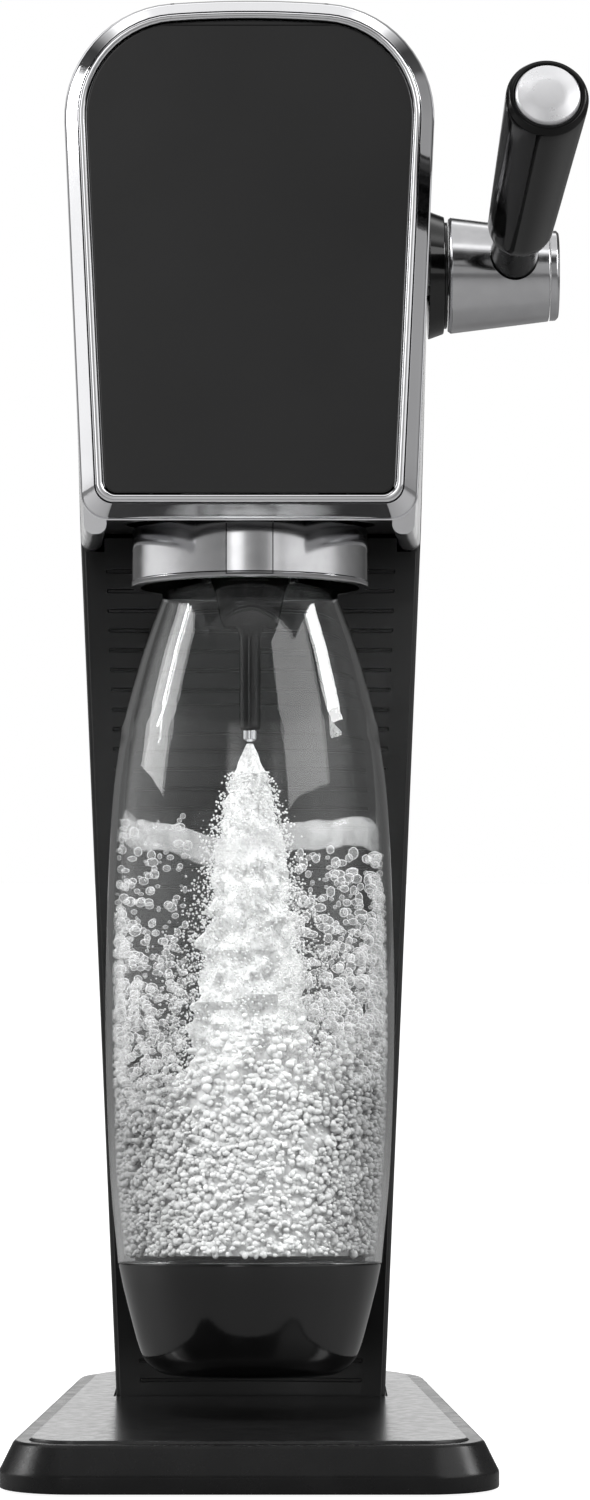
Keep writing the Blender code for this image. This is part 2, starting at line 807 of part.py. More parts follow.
def make_holder():
    ring = (
        (RING_RADIUS - 2.4, RING_TOP),
        (RING_RADIUS - 0.8, RING_TOP - 0.5),
        (RING_RADIUS, RING_TOP - 2.2),
        (RING_RADIUS, RING_BOTTOM + 0.6),
        (RING_RADIUS - 0.6, RING_BOTTOM),
        (RING_RADIUS - RING_WALL, RING_BOTTOM),
        (RING_RADIUS - RING_WALL, RING_TOP - 1.0),
    )
    whole = turned("holder_ring", ring, BRUSHED_STEEL, 36, True, HOLDER_AXIS)
    tab = turned("holder_tab", ring, BRUSHED_STEEL, 36, True, HOLDER_AXIS)
    half = TAB_WIDTH / 2
    inside = block(
        "tab_shape",
        (-half + GAP / 2, -60.0, RING_BOTTOM + 1.2),
        (half - GAP / 2, 0.0, 300.0),
        STEEL,
        parent=HOLDER_AXIS,
    )
    boolean(tab, inside, "INTERSECT")
    notch = block(
        "tab_notch",
        (-half - GAP / 2, -60.0, RING_BOTTOM + 1.2 - GAP),
        (half + GAP / 2, 0.0, 300.0),
        STEEL,
        parent=HOLDER_AXIS,
    )
    boolean(whole, notch)

    core_bottom = RING_TOP + GAP
    core_top = core_bottom + 9.0
    profile = tube_profile(TUBE_RADIUS + GAP, 31.0, core_bottom, core_top)
    core = turned("holder_core", profile, BLACK_PLASTIC, 24, True, HOLDER_AXIS)
    for sign in (-1, 1):
        ear = block(
            f"ear_{sign}",
            (sign * EAR_X - EAR_HALF, -5.5, -4.0),
            (sign * EAR_X + EAR_HALF, 24.0, 5.5),
            BLACK_PLASTIC,
            parent=HOLDER_EMPTY,
        )
        boolean(core, ear, "UNION")
    bore = rod("pivot_bore", PIN_RADIUS + GAP, -40.0, 40.0, BLACK_PLASTIC, 16, HOLDER_EMPTY)
    boolean(core, along_x(bore, 0.0, 0.0))
    pin = rod("holder_pivot_pin", PIN_RADIUS, -41.2, 41.2, STEEL, 16)
    along_x(pin, HOLDER_PIVOT.y, HOLDER_PIVOT.z)

    rod("nozzle_tube", TUBE_RADIUS, TUBE_BOTTOM, core_top, BLACK_PLASTIC, 20, HOLDER_AXIS)
    tip = (
        (0.0, TUBE_BOTTOM - GAP),
        (TIP_RADIUS, TUBE_BOTTOM - GAP),
        (TIP_RADIUS, TIP_BOTTOM + 0.8),
        (1.5, TIP_BOTTOM),
        (0.0, TIP_BOTTOM),
    )
    turned("nozzle_tip", tip, CHROME, 20, parent=HOLDER_AXIS)
    seal = tube_profile(TUBE_RADIUS + GAP, NECK_RADIUS, BOTTLE_MOUTH + GAP, core_bottom - GAP)
    turned("mouth_seal", seal, RUBBER, 20, True, HOLDER_AXIS)
    valve = ((0.0, 14.0), (2.2, 14.0), (2.4, 7.0), (4.2, 7.0), (4.2, GAP), (0.0, GAP))
    relief = turned("relief_valve", valve, BRASS, 16, parent=HOLDER_AXIS)
    relief.location = Vector((14.0, 6.0, core_top)) * MM


def make_bottle():
    outer = bottle_curve()
    shoulder = [(20.5, 239.5), (NECK_RADIUS, 242.0), (NECK_RADIUS, BOTTLE_MOUTH)]
    wall = [(radius, height) for radius, height in outer if height > CUP_TOP]
    rim = [(CUP_TOP_RADIUS - CUP_WALL - GAP, CUP_TOP + GAP), (CUP_TOP_RADIUS, CUP_TOP + GAP + 0.1)]
    outside = cup_curve(CUP_WALL + GAP) + rim + wall + shoulder
    inside = [(MOUTH_RADIUS, BOTTLE_MOUTH), (MOUTH_RADIUS, 241.0)]
    inside += [(radius - BOTTLE_WALL, height - 0.6) for radius, height in reversed(outer) if height > CUP_TOP]
    inside += [(radius, height + 0.2) for radius, height in reversed(cup_curve(CUP_WALL + GAP + BOTTLE_WALL))]
    floor = inside[-1][1]
    profile = [(0.0, outside[0][1]), *outside, *inside, (0.0, floor)]
    turned("bottle_shell", profile[::-1], CLEAR_PLASTIC, 28, parent=BOTTLE_EMPTY)

    cup_outside = [*cup_curve(), (CUP_TOP_RADIUS, CUP_TOP)]
    cup_inside = [(CUP_TOP_RADIUS - CUP_WALL, CUP_TOP), *reversed(cup_curve(CUP_WALL))]
    profile = [(0.0, 0.0), *cup_outside, *cup_inside, (0.0, cup_inside[-1][1])]
    turned("bottle_cup", profile[::-1], GLOSS_BLACK, 28, parent=BOTTLE_EMPTY)


# --- back ------------------------------------------------------------------------------------


def make_back():
    front = BODY_BACK + GAP
    bottom = BODY_FOOT + 1.4
    cover = loft(
        "back_cover",
        (
            upright_ring(body_outline(14.0, bottom), COVER_BACK - 2.4),
            upright_ring(body_outline(6.0, bottom), COVER_BACK - 6.0),
            upright_ring(body_outline(2.8, bottom), COVER_BACK - 13.0),
            upright_ring(body_outline(2.2, bottom), front),
            upright_ring(body_outline(0.0, bottom), front),
            upright_ring(body_outline(0.6, bottom), COVER_BACK - 12.0),
            upright_ring(body_outline(3.6, bottom), COVER_BACK - 4.0),
            upright_ring(body_outline(12.0, bottom), COVER_BACK),
        ),
        BLACK_SATIN,
    )
    hole = along_y(rod("button_hole", BUTTON_RADIUS + GAP, 100.0, 125.0, BLACK_SATIN, 28), 0.0, BUTTON_Z)
    boolean(cover, hole)
    profile = (
        (0.0, COVER_BACK + 1.4),
        (7.6, COVER_BACK + 1.2),
        (BUTTON_RADIUS, COVER_BACK + 0.2),
        (BUTTON_RADIUS, COVER_BACK - 4.2),
        (BUTTON_RADIUS + 2.0, COVER_BACK - 4.2),
        (BUTTON_RADIUS + 2.0, COVER_BACK - 5.4),
        (0.0, COVER_BACK - 5.4),
    )
    along_y(turned("cover_button", profile, BLACK_SATIN, 20, parent=BUTTON_EMPTY), 0.0, 0.0)

    low = (-24.0, 27.0, -3.0)
    high = (24.0, LATCH_LENGTH, 3.0)
    yoke = block("latch_yoke", low, high, RED_PLASTIC, 0.8, LATCH_EMPTY)
    for sign in (-1, 1):
        low = (sign * 22.0 - 2.0, -6.0, -5.0)
        high = (sign * 22.0 + 2.0, 28.0, 3.0)
        boolean(yoke, block(f"latch_arm_{sign}", low, high, RED_PLASTIC, parent=LATCH_EMPTY), "UNION")
    bore = rod("latch_bore", 3.3, -40.0, 40.0, RED_PLASTIC, 20, LATCH_EMPTY)
    boolean(yoke, along_x(bore, 0.0, 0.0))

    profile = tube_profile(CYLINDER_RADIUS + 0.6, CYLINDER_RADIUS + 2.4, *CRADLE_Z)
    cradle = turned("cylinder_cradle", profile, BLACK_PLASTIC, 20, True)
    cradle.location = (0.0, CYLINDER_Y * MM, 0.0)
    bottom, top = CYLINDER_BOTTOM, CYLINDER_TOP
    profile = (
        (0.0, top),
        (13.0, top),
        (13.0, top - 14.0),
        (17.0, top - 18.0),
        (26.0, top - 28.0),
        (CYLINDER_RADIUS, top - 42.0),
        (CYLINDER_RADIUS, bottom + 8.0),
        (CYLINDER_RADIUS - 3.0, bottom + 1.5),
        (CYLINDER_RADIUS - 8.0, bottom),
        (0.0, bottom),
    )
    turned("gas_cylinder", profile, ALUMINIUM, 20, parent=CYLINDER_EMPTY)
    profile = ((0.0, 34.0), (6.0, 34.0), (8.0, 31.0), (8.0, 24.0), (12.0, 22.0), (12.0, GAP), (0.0, GAP))
    valve = turned("cylinder_valve", profile, BRASS, 14, parent=CYLINDER_EMPTY)
    valve.location = (0.0, 0.0, top * MM)


clear_scene()
PARTS = new_collection("soda_carbonator")
CUTTERS = new_collection("cutters")
CUTTERS.hide_render = True

BLACK_PLASTIC = finish("black_plastic", (0.012, 0.012, 0.013), 0.42)
BLACK_SATIN = finish("black_satin", (0.014, 0.014, 0.015), 0.36)
GLOSS_BLACK = finish("gloss_black", (0.01, 0.01, 0.011), 0.12)
MAT_PLASTIC = finish("mat_plastic", (0.03, 0.03, 0.031), 0.5)
WHITE_PLASTIC = finish("white_plastic", (0.7, 0.7, 0.68), 0.5)
RED_PLASTIC = finish("red_plastic", (0.5, 0.05, 0.08), 0.4)
RUBBER = finish("rubber", (0.02, 0.02, 0.02), 0.8)
CHROME = finish("chrome", (0.75, 0.75, 0.76), 0.08, 1.0)
SILVER = finish("silver", (0.6, 0.6, 0.6), 0.3, 1.0)
BRUSHED_STEEL = finish("brushed_steel", (0.5, 0.5, 0.5), 0.35, 1.0)
STEEL = finish("steel", (0.4, 0.4, 0.41), 0.4, 1.0)
BRASS = finish("brass", (0.6, 0.42, 0.18), 0.35, 1.0)
ALUMINIUM = finish("aluminium", (0.65, 0.66, 0.67), 0.4, 1.0)
CLEAR_PLASTIC = finish("clear_plastic", (0.7, 0.72, 0.73), 0.03, 0.0, 1.0)

ARM_DIRECTION = Vector(
    (
        math.sin(LEVER_SPLAY),
        -math.cos(LEVER_SPLAY) * math.cos(LEVER_RISE),
        math.cos(LEVER_SPLAY) * math.sin(LEVER_RISE),
    )
)
LEVER_EMPTY = empty("lever_hinge", LEVER_AXIS)
ARM_TURN = Vector((0.0, 0.0, 1.0)).rotation_difference(ARM_DIRECTION).to_euler()
ARM_EMPTY = empty("lever_arm", (0.0, 0.0, 0.0), LEVER_EMPTY, ARM_TURN)
PUSHER_EMPTY = empty("pusher_slide", (0.0, 0.0, 0.0))
HOLDER_EMPTY = empty("holder_hinge", HOLDER_PIVOT)
HOLDER_AXIS = empty("holder_axis", BOTTLE_FOOT - HOLDER_PIVOT, HOLDER_EMPTY, (-TILT, 0.0, 0.0))
BOTTLE_EMPTY = empty("bottle_slide", (0.0, 0.0, 0.0), HOLDER_AXIS)
BUTTON_EMPTY = empty("button_slide", (0.0, 0.0, BUTTON_Z))
LATCH_EMPTY = empty("latch_hinge", LATCH_PIVOT, None, (-LATCH_DROOP, 0.0, 0.0))
CYLINDER_EMPTY = empty("cylinder_slide", (0.0, CYLINDER_Y, 0.0))

make_base()
make_body()
make_head()
make_valve()
make_lever()
make_holder()
make_bottle()
make_back()
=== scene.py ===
"""Looks of the soda carbonator: fine surfaces, materials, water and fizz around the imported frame.

Lengths are in millimetres unless a comment says otherwise, and MM turns them into metres. X is right,
Y is back and Z is up, as in the frame.
"""

import functools
import math
import random

import bmesh
import bpy
import numpy as np
from mathutils import Matrix, Vector, noise


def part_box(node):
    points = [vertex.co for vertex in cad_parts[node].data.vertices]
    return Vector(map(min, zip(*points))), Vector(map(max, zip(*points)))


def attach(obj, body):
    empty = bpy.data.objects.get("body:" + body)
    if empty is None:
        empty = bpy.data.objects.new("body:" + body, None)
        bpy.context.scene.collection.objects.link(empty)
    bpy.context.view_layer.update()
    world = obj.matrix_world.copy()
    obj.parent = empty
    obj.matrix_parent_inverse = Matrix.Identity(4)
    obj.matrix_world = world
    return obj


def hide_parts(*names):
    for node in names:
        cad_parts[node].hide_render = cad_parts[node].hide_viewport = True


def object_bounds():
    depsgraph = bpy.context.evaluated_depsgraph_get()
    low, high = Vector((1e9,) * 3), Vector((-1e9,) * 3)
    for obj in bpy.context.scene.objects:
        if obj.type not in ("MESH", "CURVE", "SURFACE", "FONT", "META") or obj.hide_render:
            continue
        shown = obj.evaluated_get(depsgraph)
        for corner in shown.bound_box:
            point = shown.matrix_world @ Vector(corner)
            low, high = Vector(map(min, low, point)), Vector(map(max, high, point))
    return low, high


MM = 0.001
GAP = 0.3
SHARP_ANGLE = math.radians(35.0)

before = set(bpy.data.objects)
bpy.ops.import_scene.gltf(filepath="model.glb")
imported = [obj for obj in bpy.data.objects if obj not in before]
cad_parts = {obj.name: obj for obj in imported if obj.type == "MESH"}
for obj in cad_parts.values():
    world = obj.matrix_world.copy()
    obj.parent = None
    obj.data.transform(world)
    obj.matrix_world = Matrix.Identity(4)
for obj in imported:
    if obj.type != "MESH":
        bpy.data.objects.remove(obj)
cad_low, cad_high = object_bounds()
MIDDLE = (cad_low + cad_high) / 2


def node_box(node):
    """The lowest and highest corners of a CAD node, in millimetres."""
    low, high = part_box(node)
    return low / MM, high / MM


# Base
BASE_CORNERS = ((-67.2, -122.5), (67.2, -122.5), (52.1, 122.5), (-52.1, 122.5))
BASE_RADII = (17.0, 17.0, 27.0, 27.0)
BASE_WALL = 2.2
SKIRT_OUT = 4.9
SKIRT_BEND = 5.8
RIM_WIDTH = 3.8
RECESS_DEPTH = 0.8
BASE_BOTTOM = node_box("base_shell")[0].z
BASE_TOP = node_box("base_shell")[1].z
MAT_TOP = node_box("base_mat")[1].z

# Body and its front panel
BODY_FOOT = node_box("body_frame")[0].z
BODY_FRONT = node_box("body_frame")[0].y
BODY_BACK = node_box("body_frame")[1].y
BODY_WALL = 3.0
FOOT_HALF = 41.0
WAIST_Z = 278.0
WAIST_HALF = 52.0
HEAD_TOP = 425.7
BODY_TOP_HALF = 55.9
CROWN_RADIUS = 325.0
CROWN_RISE = 3.9
COVER_BACK = node_box("back_cover")[1].y
COVER_EDGE = 12.0
PANEL_FRONT = node_box("column_front_panel")[0].y
PANEL_BOTTOM = node_box("column_front_panel")[0].z
PANEL_TOP = node_box("column_front_panel")[1].z
PANEL_HOLLOW = 5.0
PANEL_THICKNESS = 2.4
PANEL_MARGIN = 1.2
GROOVE_COUNT = 42
GROOVE_FIRST = 19.7
GROOVE_PITCH = 6.02
GROOVE_HEIGHT = 0.85
GROOVE_DEPTH = 1.2
GROOVE_END = 6.5

# Head
HEAD_BOTTOM = node_box("head_bezel")[0].z
HEAD_FRONT = node_box("head_bezel")[0].y
BEZEL_BACK = node_box("head_bezel")[1].y
SIDE_FRONT, SIDE_BACK = (corner.y for corner in node_box("head_side_frame"))
LEG_BOTTOM = node_box("head_side_frame")[0].z
LEG_THICKNESS = 6.5
HEAD_LOW_HALF = 48.4
HEAD_HIGH_HALF = 54.8
BEZEL_TOP_RADIUS = 33.0
BEZEL_BOTTOM_RADIUS = 8.0
BEZEL_WIDTHS = (6.4, 5.8, 7.2)

# The bezel's face from its outer edge to its inner one: share of its width, and depth behind the front
BEZEL_FACE = (
    (0.0, 7.6), (0.015, 6.9), (0.075, 5.2), (0.11, 4.7), (0.2, 3.95), (0.35, 2.7), (0.5, 1.45),
    (0.6, 0.62), (0.62, 0.52), (0.635, 0.9), (0.65, 1.7), (0.665, 0.9), (0.68, 0.35), (0.71, 0.12),
    (0.8, 0.0), (0.92, 0.1), (0.975, 0.5), (1.0, 1.5),
)

# Lever
LEVER_AXIS = Vector((77.7, -12.0, 353.4))
LEVER_RISE = math.radians(18.5)
LEVER_SPLAY = math.radians(2.8)
COLLAR_START = 53.2
DRUM_START = 59.1
DRUM_END = 89.2
SHAFT_RADIUS = 6.0
SHAFT_HOLE = 8.3
COLLAR_RADIUS = 19.2
COLLAR_NECK = 15.95
DRUM_RADIUS = 17.4
DRUM_CAP = 3.0
SOCKET_RADIUS = 7.3
ARM_START = 9.0
ARM_RADIUS = 6.9
CORE_START = 33.6
CORE_RADIUS = 4.6
CORE_END = 60.0
GRIP_START = 33.9
GRIP_RECESS = 121.5
GRIP_TOP = 124.0
GRIP_SIDE = ((9.7, 37.0), (10.2, 55.0), (10.9, 85.0), (11.6, 112.0), (11.75, 119.4))

# Bottle and holder, on one axis that leans back
TILT = math.radians(3.3)
BOTTLE_FOOT = Vector((0.0, -40.84, 26.4))
RING_BOTTOM = 233.0
RING_TOP = 251.0
RING_RADIUS = 35.0
RING_WALL = 2.6
RING_LIP = 1.2
TAB_WIDTH = 13.6
CUP_TOP = 33.4
CUP_TOP_RADIUS = 38.8
CUP_WALL = 1.6
BOTTLE_WALL = 1.8
NECK_RADIUS = 16.5
MOUTH_RADIUS = 13.0
BOTTLE_MOUTH = 248.0
BOTTLE_SIDE = (
    (CUP_TOP_RADIUS, CUP_TOP), (41.5, 64.0), (42.7, 110.0), (41.3, 160.0), (38.4, 188.0),
    (32.5, 212.0), (25.4, 233.0),
)
CUP_SIDE = ((19.5, 0.0), (25.8, 1.0), (30.3, 4.2), (32.6, 8.8), (34.9, 17.0), (37.3, 26.5))
RIDGE_HEIGHT = 191.0
RIDGE_HALF = 1.2
RIDGE_RISE = 0.35
NOZZLE_FLARE = 12.2
NOZZLE_STEP = 221.0
TUBE_RADIUS = 3.1
TUBE_BOTTOM = 192.0
TUBE_TOP = 260.3
TIP_RADIUS = 2.15
TIP_BOTTOM = 187.4

# Water and fizz, with heights along the bottle's axis
PLUME_BOTTOM = 58.0
PLUME_START = 0.8
PLUME_SPREAD = 12.0
PLUME_LENGTH = 20.0
PLUME_FLARE = 0.0012
CREST_LEVEL = 160.5
CREST_DIP = 8.0
CREST_DIP_WIDTH = 0.6
CREST_HALF_HEIGHT = 4.2
CREST_HALF_WIDTH = 1.2
CREST_INWARD = 2.6
FOAM_FLOOR = 35.8
FOAM_LEVEL = 84.0
FOAM_SLOPE = 8.0
FOAM_SWELL = 12.0
FOAM_LUMPS = 5.0
FOAM_INWARD = 2.3
FOAM_SIDE_SHARE = 0.85
FOAM_CLOSING = 16.0
FOAM_TEAR = 14.0
FOAM_FADE = (76.0, 104.0)
FOAM_THINNING = 28.0
FOAM_OVERTOP = 12.0
FOAM_SIZES = (0.5, 1.25)

# The room that light and gloss see: brightness by azimuth near eye level, and by elevation overhead,
# which takes over between the two elevations of ROOM_JOIN. All angles are in degrees.
ROOM_SIDES = (
    (-180, 1.3), (-175, 1.3), (-171, 0.14), (-134, 0.14), (-124, 0.8), (-116, 1.08), (-98, 1.08),
    (-89, 1.05), (-79, 0.84), (-69, 0.68), (-59, 0.53), (-50, 0.45), (-22, 0.26), (-17, 1.9),
    (-9, 1.7), (-4, 0.6), (2, 0.42), (8, 0.32), (17, 0.4), (23, 1.05), (31, 0.72), (40, 0.95),
    (57, 1.15), (76, 1.12), (87, 0.9), (98, 0.45), (111, 0.27), (150, 0.08), (171, 0.14),
    (175, 1.3), (180, 1.3),
)
ROOM_OVERHEAD = (
    (24, 0.3), (29, 0.07), (39, 0.05), (43, 0.2), (48, 0.7), (53, 1.8), (57, 1.8), (61, 1.0),
    (75, 0.85), (90, 0.95),
)
ROOM_JOIN = (22, 29)

# Lights: name, azimuth, elevation, distance in metres, size in metres and power in watts. Reflections
# show the soft boxes and not the lamps.
SOFT_BOXES = (
    ("left_fill", -93.0, 24.0, 1.7, (0.86, 0.78), 9.0),
    ("left_strip", -92.0, 28.0, 1.5, (0.06, 0.6), 3.4),
    ("right_strip", 89.0, 30.0, 1.7, (0.42, 0.56), 12.0),
    ("right_box", 52.0, 29.0, 1.9, (1.35, 1.05), 11.0),
)
LAMPS = (
    ("key", -25.0, 46.0, 1.8, (0.6, 0.6), 30.0),
    ("left_lamp", -100.0, 25.0, 1.8, (0.6, 0.6), 7.0),
    ("right_lamp", 60.0, 25.0, 1.8, (0.6, 0.6), 3.0),
)

# Camera: it stands level with the bottle, straight in front
CAMERA_PLACE = Vector((6.8, -1822.5, 181.5))
CAMERA_LENS = 145.22
CAMERA_SHIFT = (0.0147, 0.0667)

LEAN = Matrix.Translation(BOTTLE_FOOT * MM) @ Matrix.Rotation(-TILT, 4, "X")
ARM_DIRECTION = Vector(
    (
        math.sin(LEVER_SPLAY),
        -math.cos(LEVER_SPLAY) * math.cos(LEVER_RISE),
        math.cos(LEVER_SPLAY) * math.sin(LEVER_RISE),
    )
)
ARM_TURN = Vector((0.0, 0.0, 1.0)).rotation_difference(ARM_DIRECTION).to_matrix().to_4x4()
ARM = Matrix.Translation(LEVER_AXIS * MM) @ ARM_TURN
AXLE_PLACE = Vector((0.0, LEVER_AXIS.y, LEVER_AXIS.z)) * MM
AXLE = Matrix.Translation(AXLE_PLACE) @ Matrix.Rotation(math.pi / 2, 4, "Y")


# --- shader helpers --------------------------------------------------------------------------


def split_axes(nodes, links, vector):
    split = nodes.new("ShaderNodeSeparateXYZ")
    links.new(vector, split.inputs[0])
    return split.outputs["X"], split.outputs["Y"], split.outputs["Z"]


def math_node(nodes, links, operation, *values):
    """The result of an operation on sockets or plain numbers."""
    node = nodes.new("ShaderNodeMath")
    node.operation = operation
    for socket, value in zip(node.inputs, values):
        if isinstance(value, float):
            socket.default_value = value
        else:
            links.new(value, socket)
    return node.outputs[0]


def mapped(nodes, links, value, low, high, start=0.3, end=0.7):
    """A value's way from start to end, stretched to run from low to high."""
    ranged = nodes.new("ShaderNodeMapRange")
    ranged.inputs["From Min"].default_value = start
    ranged.inputs["From Max"].default_value = end
    ranged.inputs["To Min"].default_value = low
    ranged.inputs["To Max"].default_value = high
    links.new(value, ranged.inputs["Value"])
    return ranged.outputs["Result"]


def ramp(nodes, links, value, stops):
    """A colour ramp over a value; each stop is a position and a brightness or a colour."""
    node = nodes.new("ShaderNodeValToRGB")
    links.new(value, node.inputs["Fac"])
    elements = node.color_ramp.elements
    elements.remove(elements[-1])
    for index, (position, shade) in enumerate(stops):
        element = elements.new(position) if index else elements[0]
        element.position = position
        element.color = (*(shade if isinstance(shade, tuple) else (shade,) * 3), 1.0)
    return node.outputs["Color"]


def object_coordinates(nodes, links, stretch=(1.0, 1.0, 1.0)):
    coordinates = nodes.new("ShaderNodeTexCoord")
    mapping = nodes.new("ShaderNodeMapping")
    mapping.inputs["Scale"].default_value = stretch
    links.new(coordinates.outputs["Object"], mapping.inputs["Vector"])
    return mapping.outputs["Vector"]


def noise_field(nodes, links, vector, size, detail=3.0, roughness=0.5):
    """Noise whose features are about a size in millimetres."""
    field = nodes.new("ShaderNodeTexNoise")
    field.inputs["Scale"].default_value = 1.0 / (size * MM)
    field.inputs["Detail"].default_value = detail
    field.inputs["Roughness"].default_value = roughness
    links.new(vector, field.inputs["Vector"])
    return field.outputs["Fac"]


def add_relief(nodes, links, shader, field, depth):
    """Bumps of a depth in millimetres."""
    relief = nodes.new("ShaderNodeBump")
    relief.inputs["Distance"].default_value = depth * MM
    relief.inputs["Strength"].default_value = 1.0
    links.new(field, relief.inputs["Height"])
    links.new(relief.outputs["Normal"], shader.inputs["Normal"])


def by_camera(nodes, links, others, camera):
    """One shader for what the camera sees directly, and another for all other rays."""
    chosen = nodes.new("ShaderNodeMixShader")
    path = nodes.new("ShaderNodeLightPath")
    links.new(path.outputs["Is Camera Ray"], chosen.inputs["Fac"])
    links.new(others, chosen.inputs[1])
    links.new(camera, chosen.inputs[2])
    return chosen.outputs[0]


# --- studio ----------------------------------------------------------------------------------


def make_camera():
    data = bpy.data.cameras.new("camera")
    data.lens = CAMERA_LENS
    data.sensor_width = 36.0
    data.shift_x, data.shift_y = CAMERA_SHIFT
    data.clip_end = 100.0
    camera = bpy.data.objects.new("camera", data)
    camera.location = CAMERA_PLACE * MM
    camera.rotation_euler = (math.radians(90.0), 0.0, 0.0)
    bpy.context.scene.collection.objects.link(camera)
    bpy.context.scene.camera = camera


def around(azimuth, elevation, distance):
    """A place round the middle of the object, in metres. Azimuth 0 is in front and 90 at the right."""
    turn, lift = math.radians(azimuth), math.radians(elevation)
    away = Vector((math.sin(turn) * math.cos(lift), -math.cos(turn) * math.cos(lift), math.sin(lift)))
    return MIDDLE + away * distance


def make_area_light(name, azimuth, elevation, distance, size, power):
    """A soft box that faces the object and that the camera doesn't see."""
    data = bpy.data.lights.new(name, "AREA")
    data.shape = "RECTANGLE"
    data.size, data.size_y = size
    data.energy = power
    light = bpy.data.objects.new(name, data)
    light.location = around(azimuth, elevation, distance)
    light.rotation_euler = (MIDDLE - light.location).to_track_quat("-Z", "Y").to_euler()
    light.visible_camera = False
    bpy.context.scene.collection.objects.link(light)
    return light


def make_lights():
    for row in SOFT_BOXES:
        make_area_light(*row)
    for row in LAMPS:
        lamp = make_area_light(*row)
        lamp.visible_glossy = False
        lamp.visible_transmission = False


def height_share(elevation):
    """Where an elevation in degrees falls on a ramp that runs from straight down to straight up."""
    return (math.sin(math.radians(elevation)) + 1) / 2


def make_world():
    """A room of greys round the object, with plain white where the camera looks past it."""
    world = bpy.data.worlds.new("studio")
    bpy.context.scene.world = world
    world.use_nodes = True
    nodes = world.node_tree.nodes
    links = world.node_tree.links
    nodes.clear()
    coordinates = nodes.new("ShaderNodeTexCoord")
    right, back, upward = split_axes(nodes, links, coordinates.outputs["Generated"])
    ahead = math_node(nodes, links, "MULTIPLY", back, -1.0)
    azimuth = math_node(nodes, links, "ARCTAN2", right, ahead)
    turn = mapped(nodes, links, azimuth, 0.0, 1.0, -math.pi, math.pi)
    lift = mapped(nodes, links, upward, 0.0, 1.0, -1.0, 1.0)
    sides = ramp(nodes, links, turn, [((angle + 180) / 360, level) for angle, level in ROOM_SIDES])
    overhead = ramp(nodes, links, lift, [(height_share(angle), level) for angle, level in ROOM_OVERHEAD])
    start, end = (height_share(angle) for angle in ROOM_JOIN)
    mixed = nodes.new("ShaderNodeMix")
    mixed.data_type = "RGBA"
    links.new(ramp(nodes, links, lift, ((0.0, 0.0), (start, 0.0), (end, 1.0))), mixed.inputs["Factor"])
    links.new(sides, mixed.inputs["A"])
    links.new(overhead, mixed.inputs["B"])
    room = nodes.new("ShaderNodeBackground")
    links.new(mixed.outputs["Result"], room.inputs["Color"])
    backdrop = nodes.new("ShaderNodeBackground")
    backdrop.inputs["Color"].default_value = (1.0, 1.0, 1.0, 1.0)
    output = nodes.new("ShaderNodeOutputWorld")
    links.new(by_camera(nodes, links, room.outputs[0], backdrop.outputs[0]), output.inputs["Surface"])


def make_floor():
    shape = bmesh.new()
    bmesh.ops.create_grid(shape, x_segments=1, y_segments=1, size=30.0)
    floor = mesh_object("floor", shape, floor_finish())


# --- materials -------------------------------------------------------------------------------


def new_material(name):
    material = bpy.data.materials.new(name)
    material.use_nodes = True
    return material, material.node_tree.nodes, material.node_tree.links


def surface(
    name,
    colours,
    roughness,
    metallic=0.0,
    mottle=14.0,
    grain=0.6,
    depth=0.01,
    stretch=(1.0, 1.0, 1.0),
    **sockets,
):
    """A finish: two colours mottled together, varied roughness and a fine relief, sizes in millimetres."""
    material, nodes, links = new_material(name)
    shader = nodes["Principled BSDF"]
    patches = noise_field(nodes, links, object_coordinates(nodes, links), mottle)
    colour = ramp(nodes, links, patches, ((0.3, colours[0]), (0.7, colours[1])))
    links.new(colour, shader.inputs["Base Color"])
    stretched = object_coordinates(nodes, links, stretch)
    wear = noise_field(nodes, links, stretched, mottle * 0.4, 5.0)
    links.new(mapped(nodes, links, wear, *roughness), shader.inputs["Roughness"])
    add_relief(nodes, links, shader, noise_field(nodes, links, stretched, grain, 2.0), depth)
    shader.inputs["Metallic"].default_value = metallic
    for socket, value in sockets.items():
        shader.inputs[socket.replace("_", " ")].default_value = value
    return material


def floor_finish():
    """Dark grey for reflections and bounced light, and near white for the camera."""
    material, nodes, links = new_material("pale_floor")
    shader = nodes["Principled BSDF"]
    patches = noise_field(nodes, links, object_coordinates(nodes, links), 900.0)
    links.new(ramp(nodes, links, patches, ((0.0, 0.19), (1.0, 0.21))), shader.inputs["Base Color"])
    shader.inputs["Roughness"].default_value = 0.6
    glow = nodes.new("ShaderNodeEmission")
    glow.inputs["Strength"].default_value = 0.95
    lit = nodes.new("ShaderNodeAddShader")
    links.new(shader.outputs[0], lit.inputs[0])
    links.new(glow.outputs[0], lit.inputs[1])
    seen = by_camera(nodes, links, shader.outputs[0], lit.outputs[0])
    links.new(seen, nodes["Material Output"].inputs["Surface"])
    return material


def greys(first, second):
    """Two greys with a trace of blue."""
    return tuple((level, level, level * 1.02) for level in (first, second))


